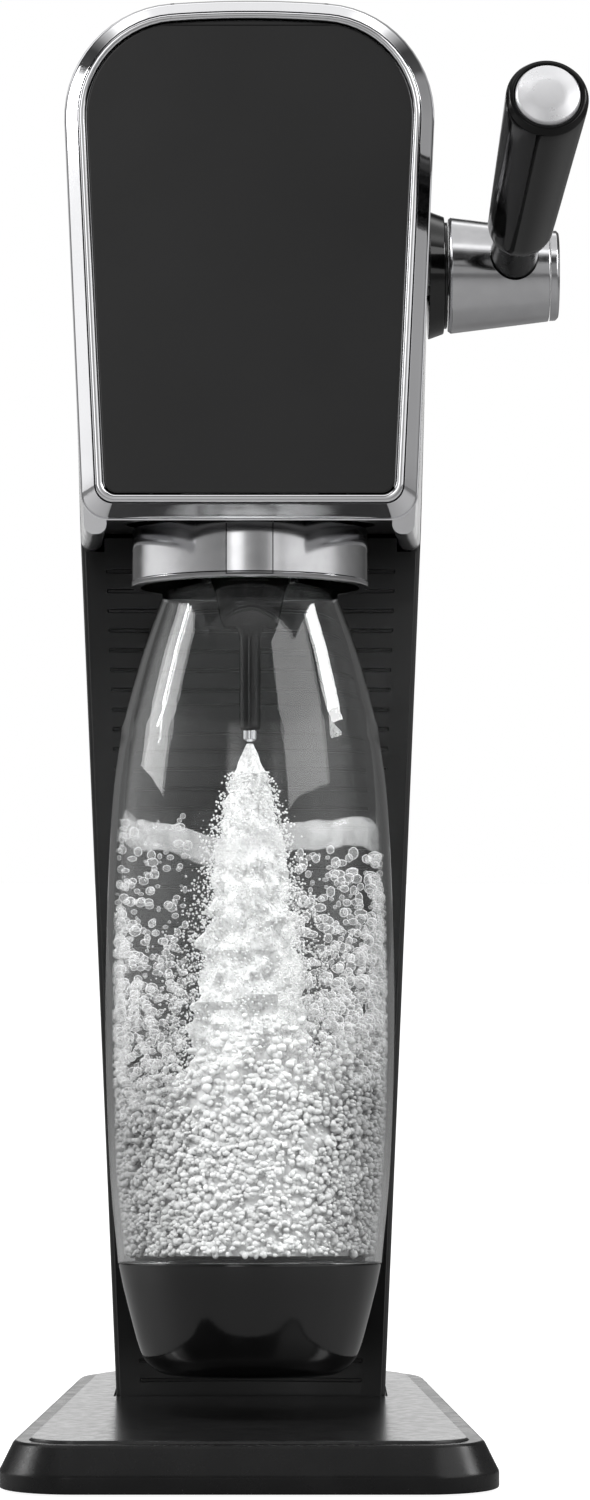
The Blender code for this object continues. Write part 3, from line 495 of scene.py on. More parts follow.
SURFACES = {
    "black_plastic": dict(
        colours=greys(0.0035, 0.0055), roughness=(0.24, 0.32), depth=0.004, Specular_IOR_Level=0.18
    ),
    "black_satin": dict(
        colours=greys(0.0035, 0.0055), roughness=(0.3, 0.38), mottle=30.0, grain=0.5, depth=0.004
    ),
    "gloss_black": dict(
        colours=greys(0.002, 0.0035), roughness=(0.07, 0.11), mottle=40.0, grain=9.0, depth=0.004
    ),
    "panel_black": dict(
        colours=greys(0.0055, 0.0075), roughness=(0.13, 0.17), mottle=60.0, grain=9.0, depth=0.003
    ),
    "grip_black": dict(
        colours=greys(0.002, 0.0035),
        roughness=(0.08, 0.12),
        mottle=40.0,
        grain=9.0,
        depth=0.004,
        Specular_IOR_Level=0.2,
    ),
    "mat_plastic": dict(
        colours=greys(0.006, 0.01), roughness=(0.2, 0.27), mottle=8.0, grain=0.45, depth=0.014
    ),
    "white_plastic": dict(colours=greys(0.62, 0.7), roughness=(0.4, 0.5)),
    "red_plastic": dict(colours=((0.42, 0.03, 0.05), (0.5, 0.05, 0.08)), roughness=(0.3, 0.42)),
    "rubber": dict(colours=greys(0.014, 0.024), roughness=(0.7, 0.85), grain=0.9, depth=0.05),
    "chrome": dict(
        colours=greys(0.8, 0.84), roughness=(0.05, 0.08), metallic=1.0, mottle=30.0, grain=40.0, depth=0.002
    ),
    "silver": dict(
        colours=greys(0.7, 0.74), roughness=(0.16, 0.22), metallic=1.0, mottle=40.0, grain=0.3, depth=0.002
    ),
    "pale_silver": dict(
        colours=greys(0.5, 0.6), roughness=(0.26, 0.32), metallic=0.6, mottle=16.0, grain=0.3, depth=0.002
    ),
    "brushed_steel": dict(
        colours=greys(0.52, 0.6),
        roughness=(0.09, 0.15),
        metallic=1.0,
        mottle=9.0,
        grain=0.16,
        depth=0.001,
        stretch=(0.04, 0.04, 1.0),
        Anisotropic=0.55,
    ),
    "steel": dict(colours=greys(0.36, 0.44), roughness=(0.28, 0.42), metallic=1.0, depth=0.006),
    "brass": dict(
        colours=((0.5, 0.34, 0.14), (0.6, 0.42, 0.18)), roughness=(0.25, 0.4), metallic=1.0, depth=0.008
    ),
    "aluminium": dict(colours=greys(0.6, 0.68), roughness=(0.32, 0.45), metallic=1.0, depth=0.008),
    "clear_plastic": dict(
        colours=((0.86, 0.87, 0.87), (0.9, 0.91, 0.91)),
        roughness=(0.0, 0.03),
        mottle=30.0,
        grain=22.0,
        depth=0.05,
        Transmission_Weight=1.0,
        Specular_IOR_Level=0.26,
        IOR=1.46,
    ),
}


def make_materials():
    """One finish for each material slot, and a few that only the fine pieces use."""
    finishes = {name: surface(name, **settings) for name, settings in SURFACES.items()}
    finishes["bubble"] = bubble_finish()
    # Both foams carry painted shade that darkens them towards the bottle's sides, the deep foam most of all
    finishes["foam"] = foam_finish("foam", 0.46, 1.0, 1.0)
    finishes["deep_foam"] = foam_finish("deep_foam", 0.12, 0.95, 2.0, fading=True)
    finishes["mist"] = mist_finish()
    finishes["water"] = water_finish()
    return finishes


def pale_finish(name, patch, levels, roughness):
    """A mottled pale material, with the parts that its see-through pattern is added to."""
    material, nodes, links = new_material(name)
    shader = nodes["Principled BSDF"]
    vector = object_coordinates(nodes, links)
    patches = noise_field(nodes, links, vector, *patch)
    colour = ramp(nodes, links, patches, ((0.3, levels[0]), (0.7, levels[1])))
    links.new(colour, shader.inputs["Base Color"])
    shader.inputs["Roughness"].default_value = roughness
    return material, nodes, links, vector, shader.inputs["Alpha"]


def water_finish():
    """Churned water: mostly clear, cloudier in patches."""
    material, nodes, links, vector, alpha = pale_finish("water", (7.0,), (0.5, 0.8), 0.12)
    links.new(mapped(nodes, links, noise_field(nodes, links, vector, 5.0), 0.1, 0.32), alpha)
    return material


def mist_finish():
    """The jet's cloud: soft white, and thinner in fine flecks."""
    material, nodes, links, vector, alpha = pale_finish("mist", (6.0, 6.0, 0.6), (0.72, 1.0), 0.6)
    torn = noise_field(nodes, links, vector, 1.6, 4.0, 0.7)
    links.new(mapped(nodes, links, torn, 0.55, 1.0, 0.35, 0.55), alpha)
    return material


def bubble_finish():
    """A bubble's glassy skin: bright where it is seen edge on, clear in the middle."""
    material, nodes, links, _, alpha = pale_finish("bubble", (6.0,), (0.85, 1.0), 0.08)
    edge = nodes.new("ShaderNodeLayerWeight")
    edge.inputs["Blend"].default_value = 0.35
    links.new(mapped(nodes, links, edge.outputs["Facing"], 0.1, 1.0, 0.25, 0.85), alpha)
    return material


def foam_finish(name, side_shade_level, middle_level, grain, fading=False):
    """Foam with painted shade that darkens it towards the bottle's sides, a lumpy relief and, if fading, a
    torn top edge.
    """
    material, nodes, links = new_material(name)
    shader = nodes["Principled BSDF"]
    vector = object_coordinates(nodes, links)
    across, _, height = split_axes(nodes, links, vector)
    aside = math_node(nodes, links, "ABSOLUTE", across)
    # Painted shade: the colour falls from middle_level near the axis to the darker side level between 12 and
    # 33 mm out
    level = mapped(nodes, links, aside, middle_level, side_shade_level, 12.0 * MM, 33.0 * MM)
    mottle = mapped(nodes, links, noise_field(nodes, links, vector, 3.0), 0.72, 1.0)
    links.new(math_node(nodes, links, "MULTIPLY", level, mottle), shader.inputs["Base Color"])
    shader.inputs["Roughness"].default_value = 0.22
    if fading:
        torn = mapped(nodes, links, noise_field(nodes, links, vector, 5.0), -FOAM_TEAR * MM, FOAM_TEAR * MM)
        edge = math_node(nodes, links, "ADD", height, torn)
        low, high = (limit * MM for limit in FOAM_FADE)
        links.new(mapped(nodes, links, edge, 1.0, 0.0, low, high), shader.inputs["Alpha"])
    add_relief(nodes, links, shader, noise_field(nodes, links, vector, grain, 2.0), grain * 0.2)
    return material


# --- mesh helpers ----------------------------------------------------------------------------


def mesh_object(name, shape, material):
    """A bmesh as a named object, shaded smooth except along its sharp edges."""
    bmesh.ops.recalc_face_normals(shape, faces=shape.faces)
    mesh = bpy.data.meshes.new(name)
    shape.to_mesh(mesh)
    shape.free()
    mesh.materials.append(material)
    mesh.shade_smooth()
    mesh.set_sharp_from_angle(angle=SHARP_ANGLE)
    obj = bpy.data.objects.new(name, mesh)
    bpy.context.scene.collection.objects.link(obj)
    return obj


def even_normals(obj):
    """Keeps flat faces flat beside their rounded edges."""
    modifier = obj.modifiers.new("even_normals", "WEIGHTED_NORMAL")
    modifier.keep_sharp = True
    return obj


def cut(obj, cutter):
    """Removes the cutter's shape from the object, and then the cutter."""
    modifier = obj.modifiers.new("cut", "BOOLEAN")
    modifier.solver = "EXACT"
    modifier.object = cutter
    graph = bpy.context.evaluated_depsgraph_get()
    mesh = bpy.data.meshes.new_from_object(obj.evaluated_get(graph))
    obj.modifiers.remove(modifier)
    obj.data = mesh
    bpy.data.objects.remove(cutter)
    mesh.shade_smooth()
    mesh.set_sharp_from_angle(angle=SHARP_ANGLE)
    return obj


def place(obj, body, replaced=(), matrix=None):
    """Puts a finished piece in the frame: where it is, what it rides on and what it stands for."""
    if matrix:
        obj.matrix_world = matrix
    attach(obj, body)
    if replaced:
        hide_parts(*replaced)


def moved_inward(corners, distance):
    """The corners of an outline, counter-clockwise, with every edge moved in by a distance."""
    count = len(corners)
    edges = []
    for index in range(count):
        start = Vector(corners[index])
        along = (Vector(corners[(index + 1) % count]) - start).normalized()
        edges.append((start + Vector((-along.y, along.x)) * distance, along))
    moved = []
    for index in range(count):
        (start, along), (other, across) = edges[index - 1], edges[index]
        offset = other - start
        reach = (offset.x * across.y - offset.y * across.x) / (along.x * across.y - along.y * across.x)
        moved.append(start + along * reach)
    return moved


def turned_point(spoke, angle):
    return Vector(
        (
            spoke.x * math.cos(angle) - spoke.y * math.sin(angle),
            spoke.x * math.sin(angle) + spoke.y * math.cos(angle),
        )
    )


def rounded(corners, radii, steps=14):
    """The corners as arcs of the given radii; a radius of 0 leaves its corner as one point."""
    points = []
    count = len(corners)
    for index, radius in enumerate(radii):
        corner = Vector(corners[index])
        if not radius:
            points.append(corner)
            continue
        before = (Vector(corners[index - 1]) - corner).normalized()
        after = (Vector(corners[(index + 1) % count]) - corner).normalized()
        half = before.angle(after) / 2
        centre = corner + (before + after).normalized() * radius / math.sin(half)
        spoke = corner + before * radius / math.tan(half) - centre
        turn = -spoke.angle_signed(corner + after * radius / math.tan(half) - centre)
        points.extend(centre + turned_point(spoke, turn * step / steps) for step in range(steps + 1))
    return points


def outline(corners, radii, inward):
    """A rounded outline moved in by a distance, so that its arcs stay concentric."""
    return rounded(moved_inward(corners, inward), [max(radius - inward, 0.6) for radius in radii])


def flat_ring(points, z):
    return [Vector((point.x, point.y, z)) for point in points]


def upright_ring(points, y):
    return [Vector((point.x, y, point.y)) for point in points]


def between(first, second, share):
    return [start.lerp(end, share) for start, end in zip(first, second, strict=True)]


def loft(name, rings, material, closed=False):
    """A skin through rings of points, closed round like a frame or capped at both ends."""
    shape = bmesh.new()
    rows = [[shape.verts.new(point * MM) for point in ring] for ring in rings]
    pairs = list(zip(rows, rows[1:]))
    if closed:
        pairs.append((rows[-1], rows[0]))
    else:
        shape.faces.new(rows[0])
        shape.faces.new(rows[-1])
    for lower, upper in pairs:
        for index in range(len(lower)):
            after = (index + 1) % len(lower)
            shape.faces.new((lower[index], lower[after], upper[after], upper[index]))
    return mesh_object(name, shape, material)


def turned(name, profile, material, steps=96, closed=False):
    """A profile of (radius, height, corner radius) turned about its own Z."""
    corners = [(radius, height) for radius, height, _ in profile]
    points = rounded(corners, [corner for _, _, corner in profile], 5)
    shape = bmesh.new()
    knots = [shape.verts.new((max(point.x, 0.0) * MM, 0.0, point.y * MM)) for point in points]
    edges = [shape.edges.new(pair) for pair in zip(knots, knots[1:])]
    if closed:
        edges.append(shape.edges.new((knots[-1], knots[0])))
    bmesh.ops.spin(
        shape,
        geom=knots + edges,
        axis=(0.0, 0.0, 1.0),
        cent=(0.0, 0.0, 0.0),
        angle=math.tau,
        steps=steps,
        use_merge=True,
    )
    bmesh.ops.remove_doubles(shape, verts=shape.verts, dist=0.001 * MM)
    return mesh_object(name, shape, material)


def smooth_route(knots, steps):
    """Points along a Catmull-Rom curve through the knots."""
    knots = [Vector(knot) for knot in knots]
    padded = [2 * knots[0] - knots[1], *knots, 2 * knots[-1] - knots[-2]]
    points = [knots[0]]
    for index in range(1, len(padded) - 2):
        before, start, end, after = padded[index - 1 : index + 3]
        for step in range(1, steps + 1):
            t = step / steps
            points.append(
                0.5
                * (
                    2 * start
                    + (end - before) * t
                    + (2 * before - 5 * start + 4 * end - after) * t * t
                    + (3 * start - before - 3 * end + after) * t**3
                )
            )
    return points


def rod(name, radius, bottom, top, material):
    profile = ((0.0, top, 0), (radius, top, 0), (radius, bottom, 0), (0.0, bottom, 0))
    return turned(name, profile, material, 64)


def block(name, low, high, material):
    shape = bmesh.new()
    bmesh.ops.create_cube(shape, size=1.0)
    bmesh.ops.scale(shape, vec=(Vector(high) - Vector(low)) * MM, verts=shape.verts)
    bmesh.ops.translate(shape, vec=(Vector(low) + Vector(high)) / 2 * MM, verts=shape.verts)
    return mesh_object(name, shape, material)


# --- base ------------------------------------------------------------------------------------


def base_ring(inward, z):
    return flat_ring(outline(BASE_CORNERS, BASE_RADII, inward), z)


def make_base():
    skirt = BASE_WALL - SKIRT_OUT
    sections = (
        (BASE_WALL, BASE_TOP - RECESS_DEPTH - BASE_WALL),
        (skirt, SKIRT_BEND),
        (skirt, BASE_BOTTOM + 0.3),
        (skirt - 0.3, BASE_BOTTOM),
        (-SKIRT_OUT + 0.6, BASE_BOTTOM),
        (-SKIRT_OUT + 0.15, BASE_BOTTOM + 0.2),
        (-SKIRT_OUT, BASE_BOTTOM + 0.7),
        (-SKIRT_OUT, SKIRT_BEND - 0.6),
        (-SKIRT_OUT + 0.12, SKIRT_BEND),
        (-SKIRT_OUT + 0.45, SKIRT_BEND + 0.55),
        (-0.95, BASE_TOP - 0.9),
        (-0.55, BASE_TOP - 0.35),
        (0.0, BASE_TOP - 0.06),
        (0.5, BASE_TOP),
        (RIM_WIDTH - 0.4, BASE_TOP),
        (RIM_WIDTH - 0.1, BASE_TOP - 0.1),
        (RIM_WIDTH, BASE_TOP - 0.4),
        (RIM_WIDTH, BASE_TOP - RECESS_DEPTH),
    )
    shell = loft("base_shell_fine", [base_ring(*section) for section in sections], FINISH["black_plastic"])
    place(even_normals(shell), "root", ["base_shell"])

    edge = RIM_WIDTH + GAP
    sections = (
        (edge, BASE_TOP - RECESS_DEPTH + GAP),
        (edge, MAT_TOP - 0.6),
        (edge + 0.15, MAT_TOP - 0.2),
        (edge + 0.6, MAT_TOP),
    )
    mat = loft("base_mat_fine", [base_ring(*section) for section in sections], FINISH["mat_plastic"])
    foot = body_half(MAT_TOP) + 0.7
    cutter = block("mat_cutter", (-foot, PANEL_FRONT - 0.7, 0.0), (foot, 150.0, 40.0), FINISH["mat_plastic"])
    place(even_normals(cut(mat, cutter)), "root", ["base_mat"])


# --- body ------------------------------------------------------------------------------------


def body_half(z):
    """Half the column's width at a height."""
    return FOOT_HALF + (WAIST_HALF - FOOT_HALF) * (z - BODY_FOOT) / (WAIST_Z - BODY_FOOT)


def arch_corners(bottom_half, bottom, top_half, top, waist=None):
    """An arch seen from the front: level foot, straight sides and a low crown, counter-clockwise."""
    side = [waist] if waist else []
    return [
        (-bottom_half, bottom),
        (bottom_half, bottom),
        *side,
        (top_half, top - CROWN_RISE),
        (0.0, top),
        (-top_half, top - CROWN_RISE),
        *[(-x, z) for x, z in side],
    ]


def body_rings(sections, bottom=BODY_FOOT):
    """The body's arch as rings: each section is how far the arch is moved in, and its y."""
    corners = arch_corners(body_half(bottom), bottom, BODY_TOP_HALF, HEAD_TOP + 0.3, (WAIST_HALF, WAIST_Z))
    radii = (1.5, 1.5, 900.0, 34.0, CROWN_RADIUS, 34.0, 900.0)
    return [upright_ring(outline(corners, radii, inward), y) for inward, y in sections]


def groove_rows():
    """Heights up the panel's face, each with the share of a groove's depth there."""
    half = GROOVE_HEIGHT / 2
    rows = [(PANEL_BOTTOM, 0.0)]
    for index in range(GROOVE_COUNT):
        middle = GROOVE_FIRST + index * GROOVE_PITCH
        for offset, share in ((-half - 0.25, 0.0), (-half - 0.05, 0.18), (-half + 0.05, 1.0)):
            rows.append((middle + offset, share))
        for offset, share in ((half - 0.05, 1.0), (half + 0.05, 0.18), (half + 0.25, 0.0)):
            rows.append((middle + offset, share))
    rows.append((PANEL_TOP, 0.0))
    return rows


def make_panel():
    """The column's face, hollow from side to side, with a groove at each row of the ladder."""
    inside = [step / 16 * 2 - 1 for step in range(17)]
    rings = []
    for z, share in groove_rows():
        full = body_half(z) - PANEL_MARGIN
        end = full - GROOVE_END
        across = [(-full, 0.0), (-full + 0.3, 0.0), (-end - 0.3, 0.0)]
        across += [(end * part, share) for part in inside]
        across += [(end + 0.3, 0.0), (full - 0.3, 0.0), (full, 0.0)]
        front = []
        for x, cut_share in across:
            y = PANEL_FRONT + PANEL_HOLLOW * (1 - (x / full) ** 2) + GROOVE_DEPTH * cut_share
            front.append(Vector((x, y + (0.3 if abs(x) == full else 0.0), z)))
        back = PANEL_FRONT + PANEL_HOLLOW + PANEL_THICKNESS
        rings.append([*front, Vector((full, back, z)), Vector((-full, back, z))])
    panel = loft("column_panel_fine", rings, FINISH["black_satin"])
    leg = WAIST_HALF - LEG_THICKNESS - 0.9
    for side in (-1, 1):
        low = (min(side * leg, side * 60.0), 15.0, LEG_BOTTOM - GAP)
        high = (max(side * leg, side * 60.0), 40.0, 300.0)
        cut(panel, block("leg_cutter", low, high, FINISH["black_satin"]))
    place(even_normals(panel), "root", ["column_front_panel"])


def make_body():
    sections = (
        (1.2, BODY_FRONT),
        (0.5, BODY_FRONT + 0.15),
        (0.12, BODY_FRONT + 0.55),
        (0.0, BODY_FRONT + 1.2),
        (0.0, BODY_BACK - 0.6),
        (0.15, BODY_BACK - 0.15),
        (0.6, BODY_BACK),
        (BODY_WALL, BODY_BACK),
        (BODY_WALL, BODY_FRONT),
    )
    band = loft("body_frame_fine", body_rings(sections), FINISH["black_satin"], closed=True)
    low = (-FOOT_HALF + 3.5, BODY_FRONT - 2.0, BODY_FOOT - 2.0)
    high = (FOOT_HALF - 3.5, PANEL_FRONT + PANEL_HOLLOW + PANEL_THICKNESS + 0.6, BODY_FOOT + 4.0)
    cut(band, block("panel_cutter", low, high, FINISH["black_satin"]))
    place(even_normals(band), "root", ["body_frame"])
    make_panel()


def make_back():
    """The rear cover as a shallow tray, with its edge rolled over and a seam line round it."""
    front = BODY_BACK + GAP
    bottom = BODY_FOOT + 1.4
    steps = 8
    sections = [
        (14.0, COVER_BACK - 2.4),
        (6.0, COVER_BACK - 6.0),
        (2.8, COVER_BACK - 13.0),
        (2.2, front),
        (0.5, front),
        (0.12, front + 0.15),
        (0.0, front + 0.5),
    ]
    for step in range(steps + 1):
        angle = math.pi / 2 * step / steps
        inward = COVER_EDGE * (1 - math.sin(math.pi / 2 - angle))
        sections.append((inward, COVER_BACK - COVER_EDGE + COVER_EDGE * math.sin(angle)))
    cover = loft("back_cover_fine", body_rings(sections, bottom), FINISH["black_satin"])
    button_low, button_high = node_box("cover_button")
    middle = (button_low + button_high) / 2
    radius = (button_high.x - button_low.x) / 2 - 2.0 + GAP
    hole = rod("button_cutter", radius, 95.0, 130.0, FINISH["black_satin"])
    backwards = Matrix.Rotation(-math.pi / 2, 4, "X")
    hole.matrix_world = Matrix.Translation((middle.x * MM, 0.0, middle.z * MM)) @ backwards
    place(even_normals(cut(cover, hole)), "rear_cover", ["back_cover"])


# --- head ------------------------------------------------------------------------------------


def head_outline(shrink=(0.0, 0.0, 0.0), top_radius=BEZEL_TOP_RADIUS, bottom_radius=BEZEL_BOTTOM_RADIUS):
    """The bezel's outer outline, or one inside it; the shrink is for the sides, the top and the bottom."""
    side, top, bottom = shrink
    corners = arch_corners(
        HEAD_LOW_HALF - side, HEAD_BOTTOM + bottom, HEAD_HIGH_HALF - side, HEAD_TOP + 1.7 - top
    )
    return rounded(corners, (bottom_radius, bottom_radius, top_radius, CROWN_RADIUS - 20, top_radius))


def side_frame_outline(low_half, high_half, top):
    """An inverted U: two legs with round ends, joined by the arch."""
    inner_low = low_half - LEG_THICKNESS
    inner_high = high_half - LEG_THICKNESS
    inner_top = top - LEG_THICKNESS
    corners = (
        (-low_half, LEG_BOTTOM),
        (-inner_low, LEG_BOTTOM),
        (-inner_high, inner_top - CROWN_RISE),
        (0.0, inner_top),
        (inner_high, inner_top - CROWN_RISE),
        (inner_low, LEG_BOTTOM),
        (low_half, LEG_BOTTOM),
        (high_half, top - CROWN_RISE),
        (0.0, top),
        (-high_half, top - CROWN_RISE),
    )
    end = LEG_THICKNESS / 2 - 0.3
    radii = (end, end, 27.0, CROWN_RADIUS - 30, 27.0, end, end, 33.0, CROWN_RADIUS - 20, 33.0)
    return rounded(corners, radii)


def panel_outline(inward, top_radius, bottom_radius):
    """The front panel's outline, moved in by a distance from the gap inside the bezel."""
    return head_outline([width + inward + GAP for width in BEZEL_WIDTHS], top_radius, bottom_radius)


def make_head():
    side = loft(
        "head_side_fine",
        (
            upright_ring(side_frame_outline(47.6, 54.0, HEAD_TOP + 0.4), SIDE_FRONT),
            upright_ring(side_frame_outline(51.6, 56.2, HEAD_TOP - 0.2), SIDE_BACK),
        ),
        FINISH["silver"],
    )
    hole = rod("shaft_cutter", SHAFT_HOLE, 40.0, 70.0, FINISH["silver"])
    hole.matrix_world = AXLE
    place(even_normals(cut(side, hole)), "root", ["head_side_frame"])

    outer = head_outline()
    inner = head_outline(BEZEL_WIDTHS, 27.0, 4.0)
    front_route = smooth_route([(share, HEAD_FRONT + depth) for share, depth in BEZEL_FACE], 3)
    profile = [(0.0, BEZEL_BACK), *[(point.x, point.y) for point in front_route], (1.0, BEZEL_BACK)]
    rings = [upright_ring(between(outer, inner, share), y) for share, y in profile]
    place(loft("head_bezel_fine", rings, FINISH["chrome"], closed=True), "root", ["head_bezel"])

    edge = panel_outline(0.0, 26.8, 3.8)
    shoulder = panel_outline(0.1, 26.7, 3.7)
    face = panel_outline(0.5, 26.4, 3.5)
    panel = loft(
        "head_panel_fine",
        (
            upright_ring(edge, BEZEL_BACK - 0.7),
            upright_ring(edge, HEAD_FRONT + 1.7),
            upright_ring(shoulder, HEAD_FRONT + 1.45),
            upright_ring(face, HEAD_FRONT + 1.3),
        ),
        FINISH["panel_black"],
    )
    place(even_normals(panel), "root", ["head_front_panel"])


# --- lever -----------------------------------------------------------------------------------


def make_lever():
    bore = SHAFT_RADIUS + GAP
    collar = (
        (bore, DRUM_START - GAP, 0),
        (COLLAR_NECK, DRUM_START - GAP, 0.3),
        (COLLAR_NECK, 57.95, 0.2),
        (17.5, 57.85, 0.5),
        (COLLAR_RADIUS, COLLAR_START, 0.3),
        (bore, COLLAR_START, 0),
    )
    piece = turned("lever_collar_fine", collar, FINISH["gloss_black"], closed=True)
    place(even_normals(piece), "root", ["lever_collar"], AXLE)

    drum = (
        (0.0, DRUM_END, 0),
        (13.5, DRUM_END, 0.15),
        (13.75, DRUM_END - 0.25, 0.15),
        (DRUM_RADIUS, DRUM_START + 0.9, 0.7),
        (16.7, DRUM_START, 0.3),
        (0.0, DRUM_START, 0),
    )
    piece = turned("lever_drum_fine", drum, FINISH["brushed_steel"], 128)
    socket = rod("neck_cutter", SOCKET_RADIUS, ARM_START - GAP, 40.0, FINISH["brushed_steel"])
    socket.matrix_world = AXLE.inverted() @ ARM
    place(even_normals(cut(piece, socket)), "lever", ["lever_drum"], AXLE)

    top = DRUM_END + DRUM_CAP
    cap = (
        (0.0, top, 0),
        (12.6, top - 0.1, 0.5),
        (13.45, top - 0.9, 0.4),
        (13.6, DRUM_END + GAP, 0.1),
        (0.0, DRUM_END + GAP, 0),
    )
    piece = turned("drum_cap_fine", cap, FINISH["brushed_steel"], 128)
    place(even_normals(piece), "lever", ["drum_end_cap"], AXLE)

    neck = (
        (0.0, CORE_END, 0),
        (CORE_RADIUS, CORE_END, 0),
        (CORE_RADIUS, CORE_START, 0),
        (ARM_RADIUS, CORE_START, 0.5),
        (ARM_RADIUS, ARM_START, 0.5),
        (0.0, ARM_START, 0),
    )
    piece = turned("lever_neck_fine", neck, FINISH["black_plastic"], 64)
    place(even_normals(piece), "lever", ["lever_neck"], ARM)

    grip = (
        (0.0, GRIP_RECESS, 0),
        (9.5, GRIP_RECESS, 0.2),
        (9.6, GRIP_TOP + 0.1, 0.3),
        (10.7, GRIP_TOP, 0.6),
        (11.7, 122.0, 1.2),
        *[(point.x, point.y, 0) for point in reversed(smooth_route(GRIP_SIDE, 8))],
        (9.3, GRIP_START + 0.5, 0.9),
        (7.6, GRIP_START, 0.3),
        (CORE_RADIUS + GAP, GRIP_START, 0),
        (CORE_RADIUS + GAP, CORE_END + GAP, 0),
        (0.0, CORE_END + GAP, 0),
    )
    piece = turned("lever_grip_fine", grip, FINISH["grip_black"], 96)
    place(piece, "lever", ["lever_grip"], ARM)

    cap = (
        (0.0, 126.0, 0),
        (5.0, 125.8, 12.0),
        (8.7, 125.0, 0.7),
        (9.2, GRIP_TOP, 0.3),
        (9.2, GRIP_RECESS + GAP, 0),
        (0.0, GRIP_RECESS + GAP, 0),
    )
    piece = turned("grip_cap_fine", cap, FINISH["pale_silver"])
    place(piece, "lever", ["grip_end_cap"], ARM)


# --- holder ----------------------------------------------------------------------------------


def ring_profile():
    return (
        (RING_RADIUS - RING_WALL, RING_TOP - 1.0, 0.3),
        (RING_RADIUS - 2.3, RING_TOP, 0.3),
        (RING_RADIUS - 0.6, RING_TOP - 0.05, 0.4),
        (RING_RADIUS, RING_TOP - 0.9, 0.5),
        (RING_RADIUS, RING_BOTTOM + 1.9, 0.1),
        (RING_RADIUS + 0.25, RING_BOTTOM + 1.5, 0.25),
        (RING_RADIUS + 0.1, RING_BOTTOM + 0.4, 0.4),
        (RING_RADIUS - 0.8, RING_BOTTOM, 0.4),
        (RING_RADIUS - RING_WALL, RING_BOTTOM, 0.3),
    )


def make_holder():
    half = TAB_WIDTH / 2
    ring = turned("holder_ring_fine", ring_profile(), FINISH["brushed_steel"], 160, closed=True)
    bottom = RING_BOTTOM + RING_LIP
    low = (-half - GAP / 2, -60.0, bottom - GAP)
    cut(ring, block("tab_cutter", low, (half + GAP / 2, 0.0, 300.0), FINISH["brushed_steel"]))
    place(even_normals(ring), "bottle_holder", ["holder_ring"], LEAN)

    tab = turned("holder_tab_fine", ring_profile(), FINISH["brushed_steel"], 160, closed=True)
    side = half - GAP / 2
    for name, low, high in (
        ("left_cutter", (-80.0, -80.0, 200.0), (-side, 80.0, 300.0)),
        ("right_cutter", (side, -80.0, 200.0), (80.0, 80.0, 300.0)),
        ("rear_cutter", (-80.0, 0.0, 200.0), (80.0, 80.0, 300.0)),
        ("low_cutter", (-80.0, -80.0, 200.0), (80.0, 80.0, bottom)),
    ):
        cut(tab, block(name, low, high, FINISH["chrome"]))
    place(even_normals(tab), "bottle_holder", ["holder_tab"], LEAN)

    tube = (
        (0.0, TUBE_TOP, 0),
        (TUBE_RADIUS, TUBE_TOP, 0),
        (TUBE_RADIUS, BOTTLE_MOUTH, 0.4),
        (NOZZLE_FLARE, BOTTLE_MOUTH - 2.0, 0.6),
        (NOZZLE_FLARE, 240.0, 1.0),
        (8.6, NOZZLE_STEP + 1.5, 1.2),
        (7.6, NOZZLE_STEP, 0.8),
        (TUBE_RADIUS + 0.9, NOZZLE_STEP, 0.3),
        (TUBE_RADIUS, 218.5, 0.8),
        (TUBE_RADIUS, TUBE_BOTTOM, 0.4),
        (0.0, TUBE_BOTTOM, 0),
    )
    piece = turned("nozzle_fine", tube, FINISH["gloss_black"], 64)
    place(even_normals(piece), "bottle_holder", ["nozzle_tube"], LEAN)
    tip = (
        (0.0, TUBE_BOTTOM - GAP, 0),
        (TIP_RADIUS, TUBE_BOTTOM - GAP, 0.3),
        (TIP_RADIUS, TIP_BOTTOM + 0.8, 0.4),
        (1.3, TIP_BOTTOM, 0.3),
        (0.7, TIP_BOTTOM, 0.1),
        (0.7, TIP_BOTTOM + 1.0, 0),
        (0.0, TIP_BOTTOM + 1.0, 0),
    )
    piece = turned("nozzle_tip_fine", tip, FINISH["chrome"], 48)
    place(even_normals(piece), "bottle_holder", ["nozzle_tip"], LEAN)


# --- bottle ----------------------------------------------------------------------------------


@functools.cache
def bottle_curve():
    """The bottle's outer side from its cup to its shoulder, as (radius, height) pairs going up."""
    return [(point.x, point.y) for point in smooth_route(BOTTLE_SIDE, 8)]


def bottle_radius(height):
    """The bottle's inner radius at a height."""
    curve = bottle_curve()
    for (low_radius, low), (high_radius, high) in zip(curve, curve[1:]):
        if low <= height <= high:
            return low_radius + (high_radius - low_radius) * (height - low) / (high - low) - BOTTLE_WALL
    return curve[0][0] - BOTTLE_WALL


def cup_curve(inward=0.0):
    """The cup's outer side from its flat bottom upwards, moved in by a distance."""
    return [(point.x - inward, point.y + inward * 0.8) for point in smooth_route(CUP_SIDE, 5)]


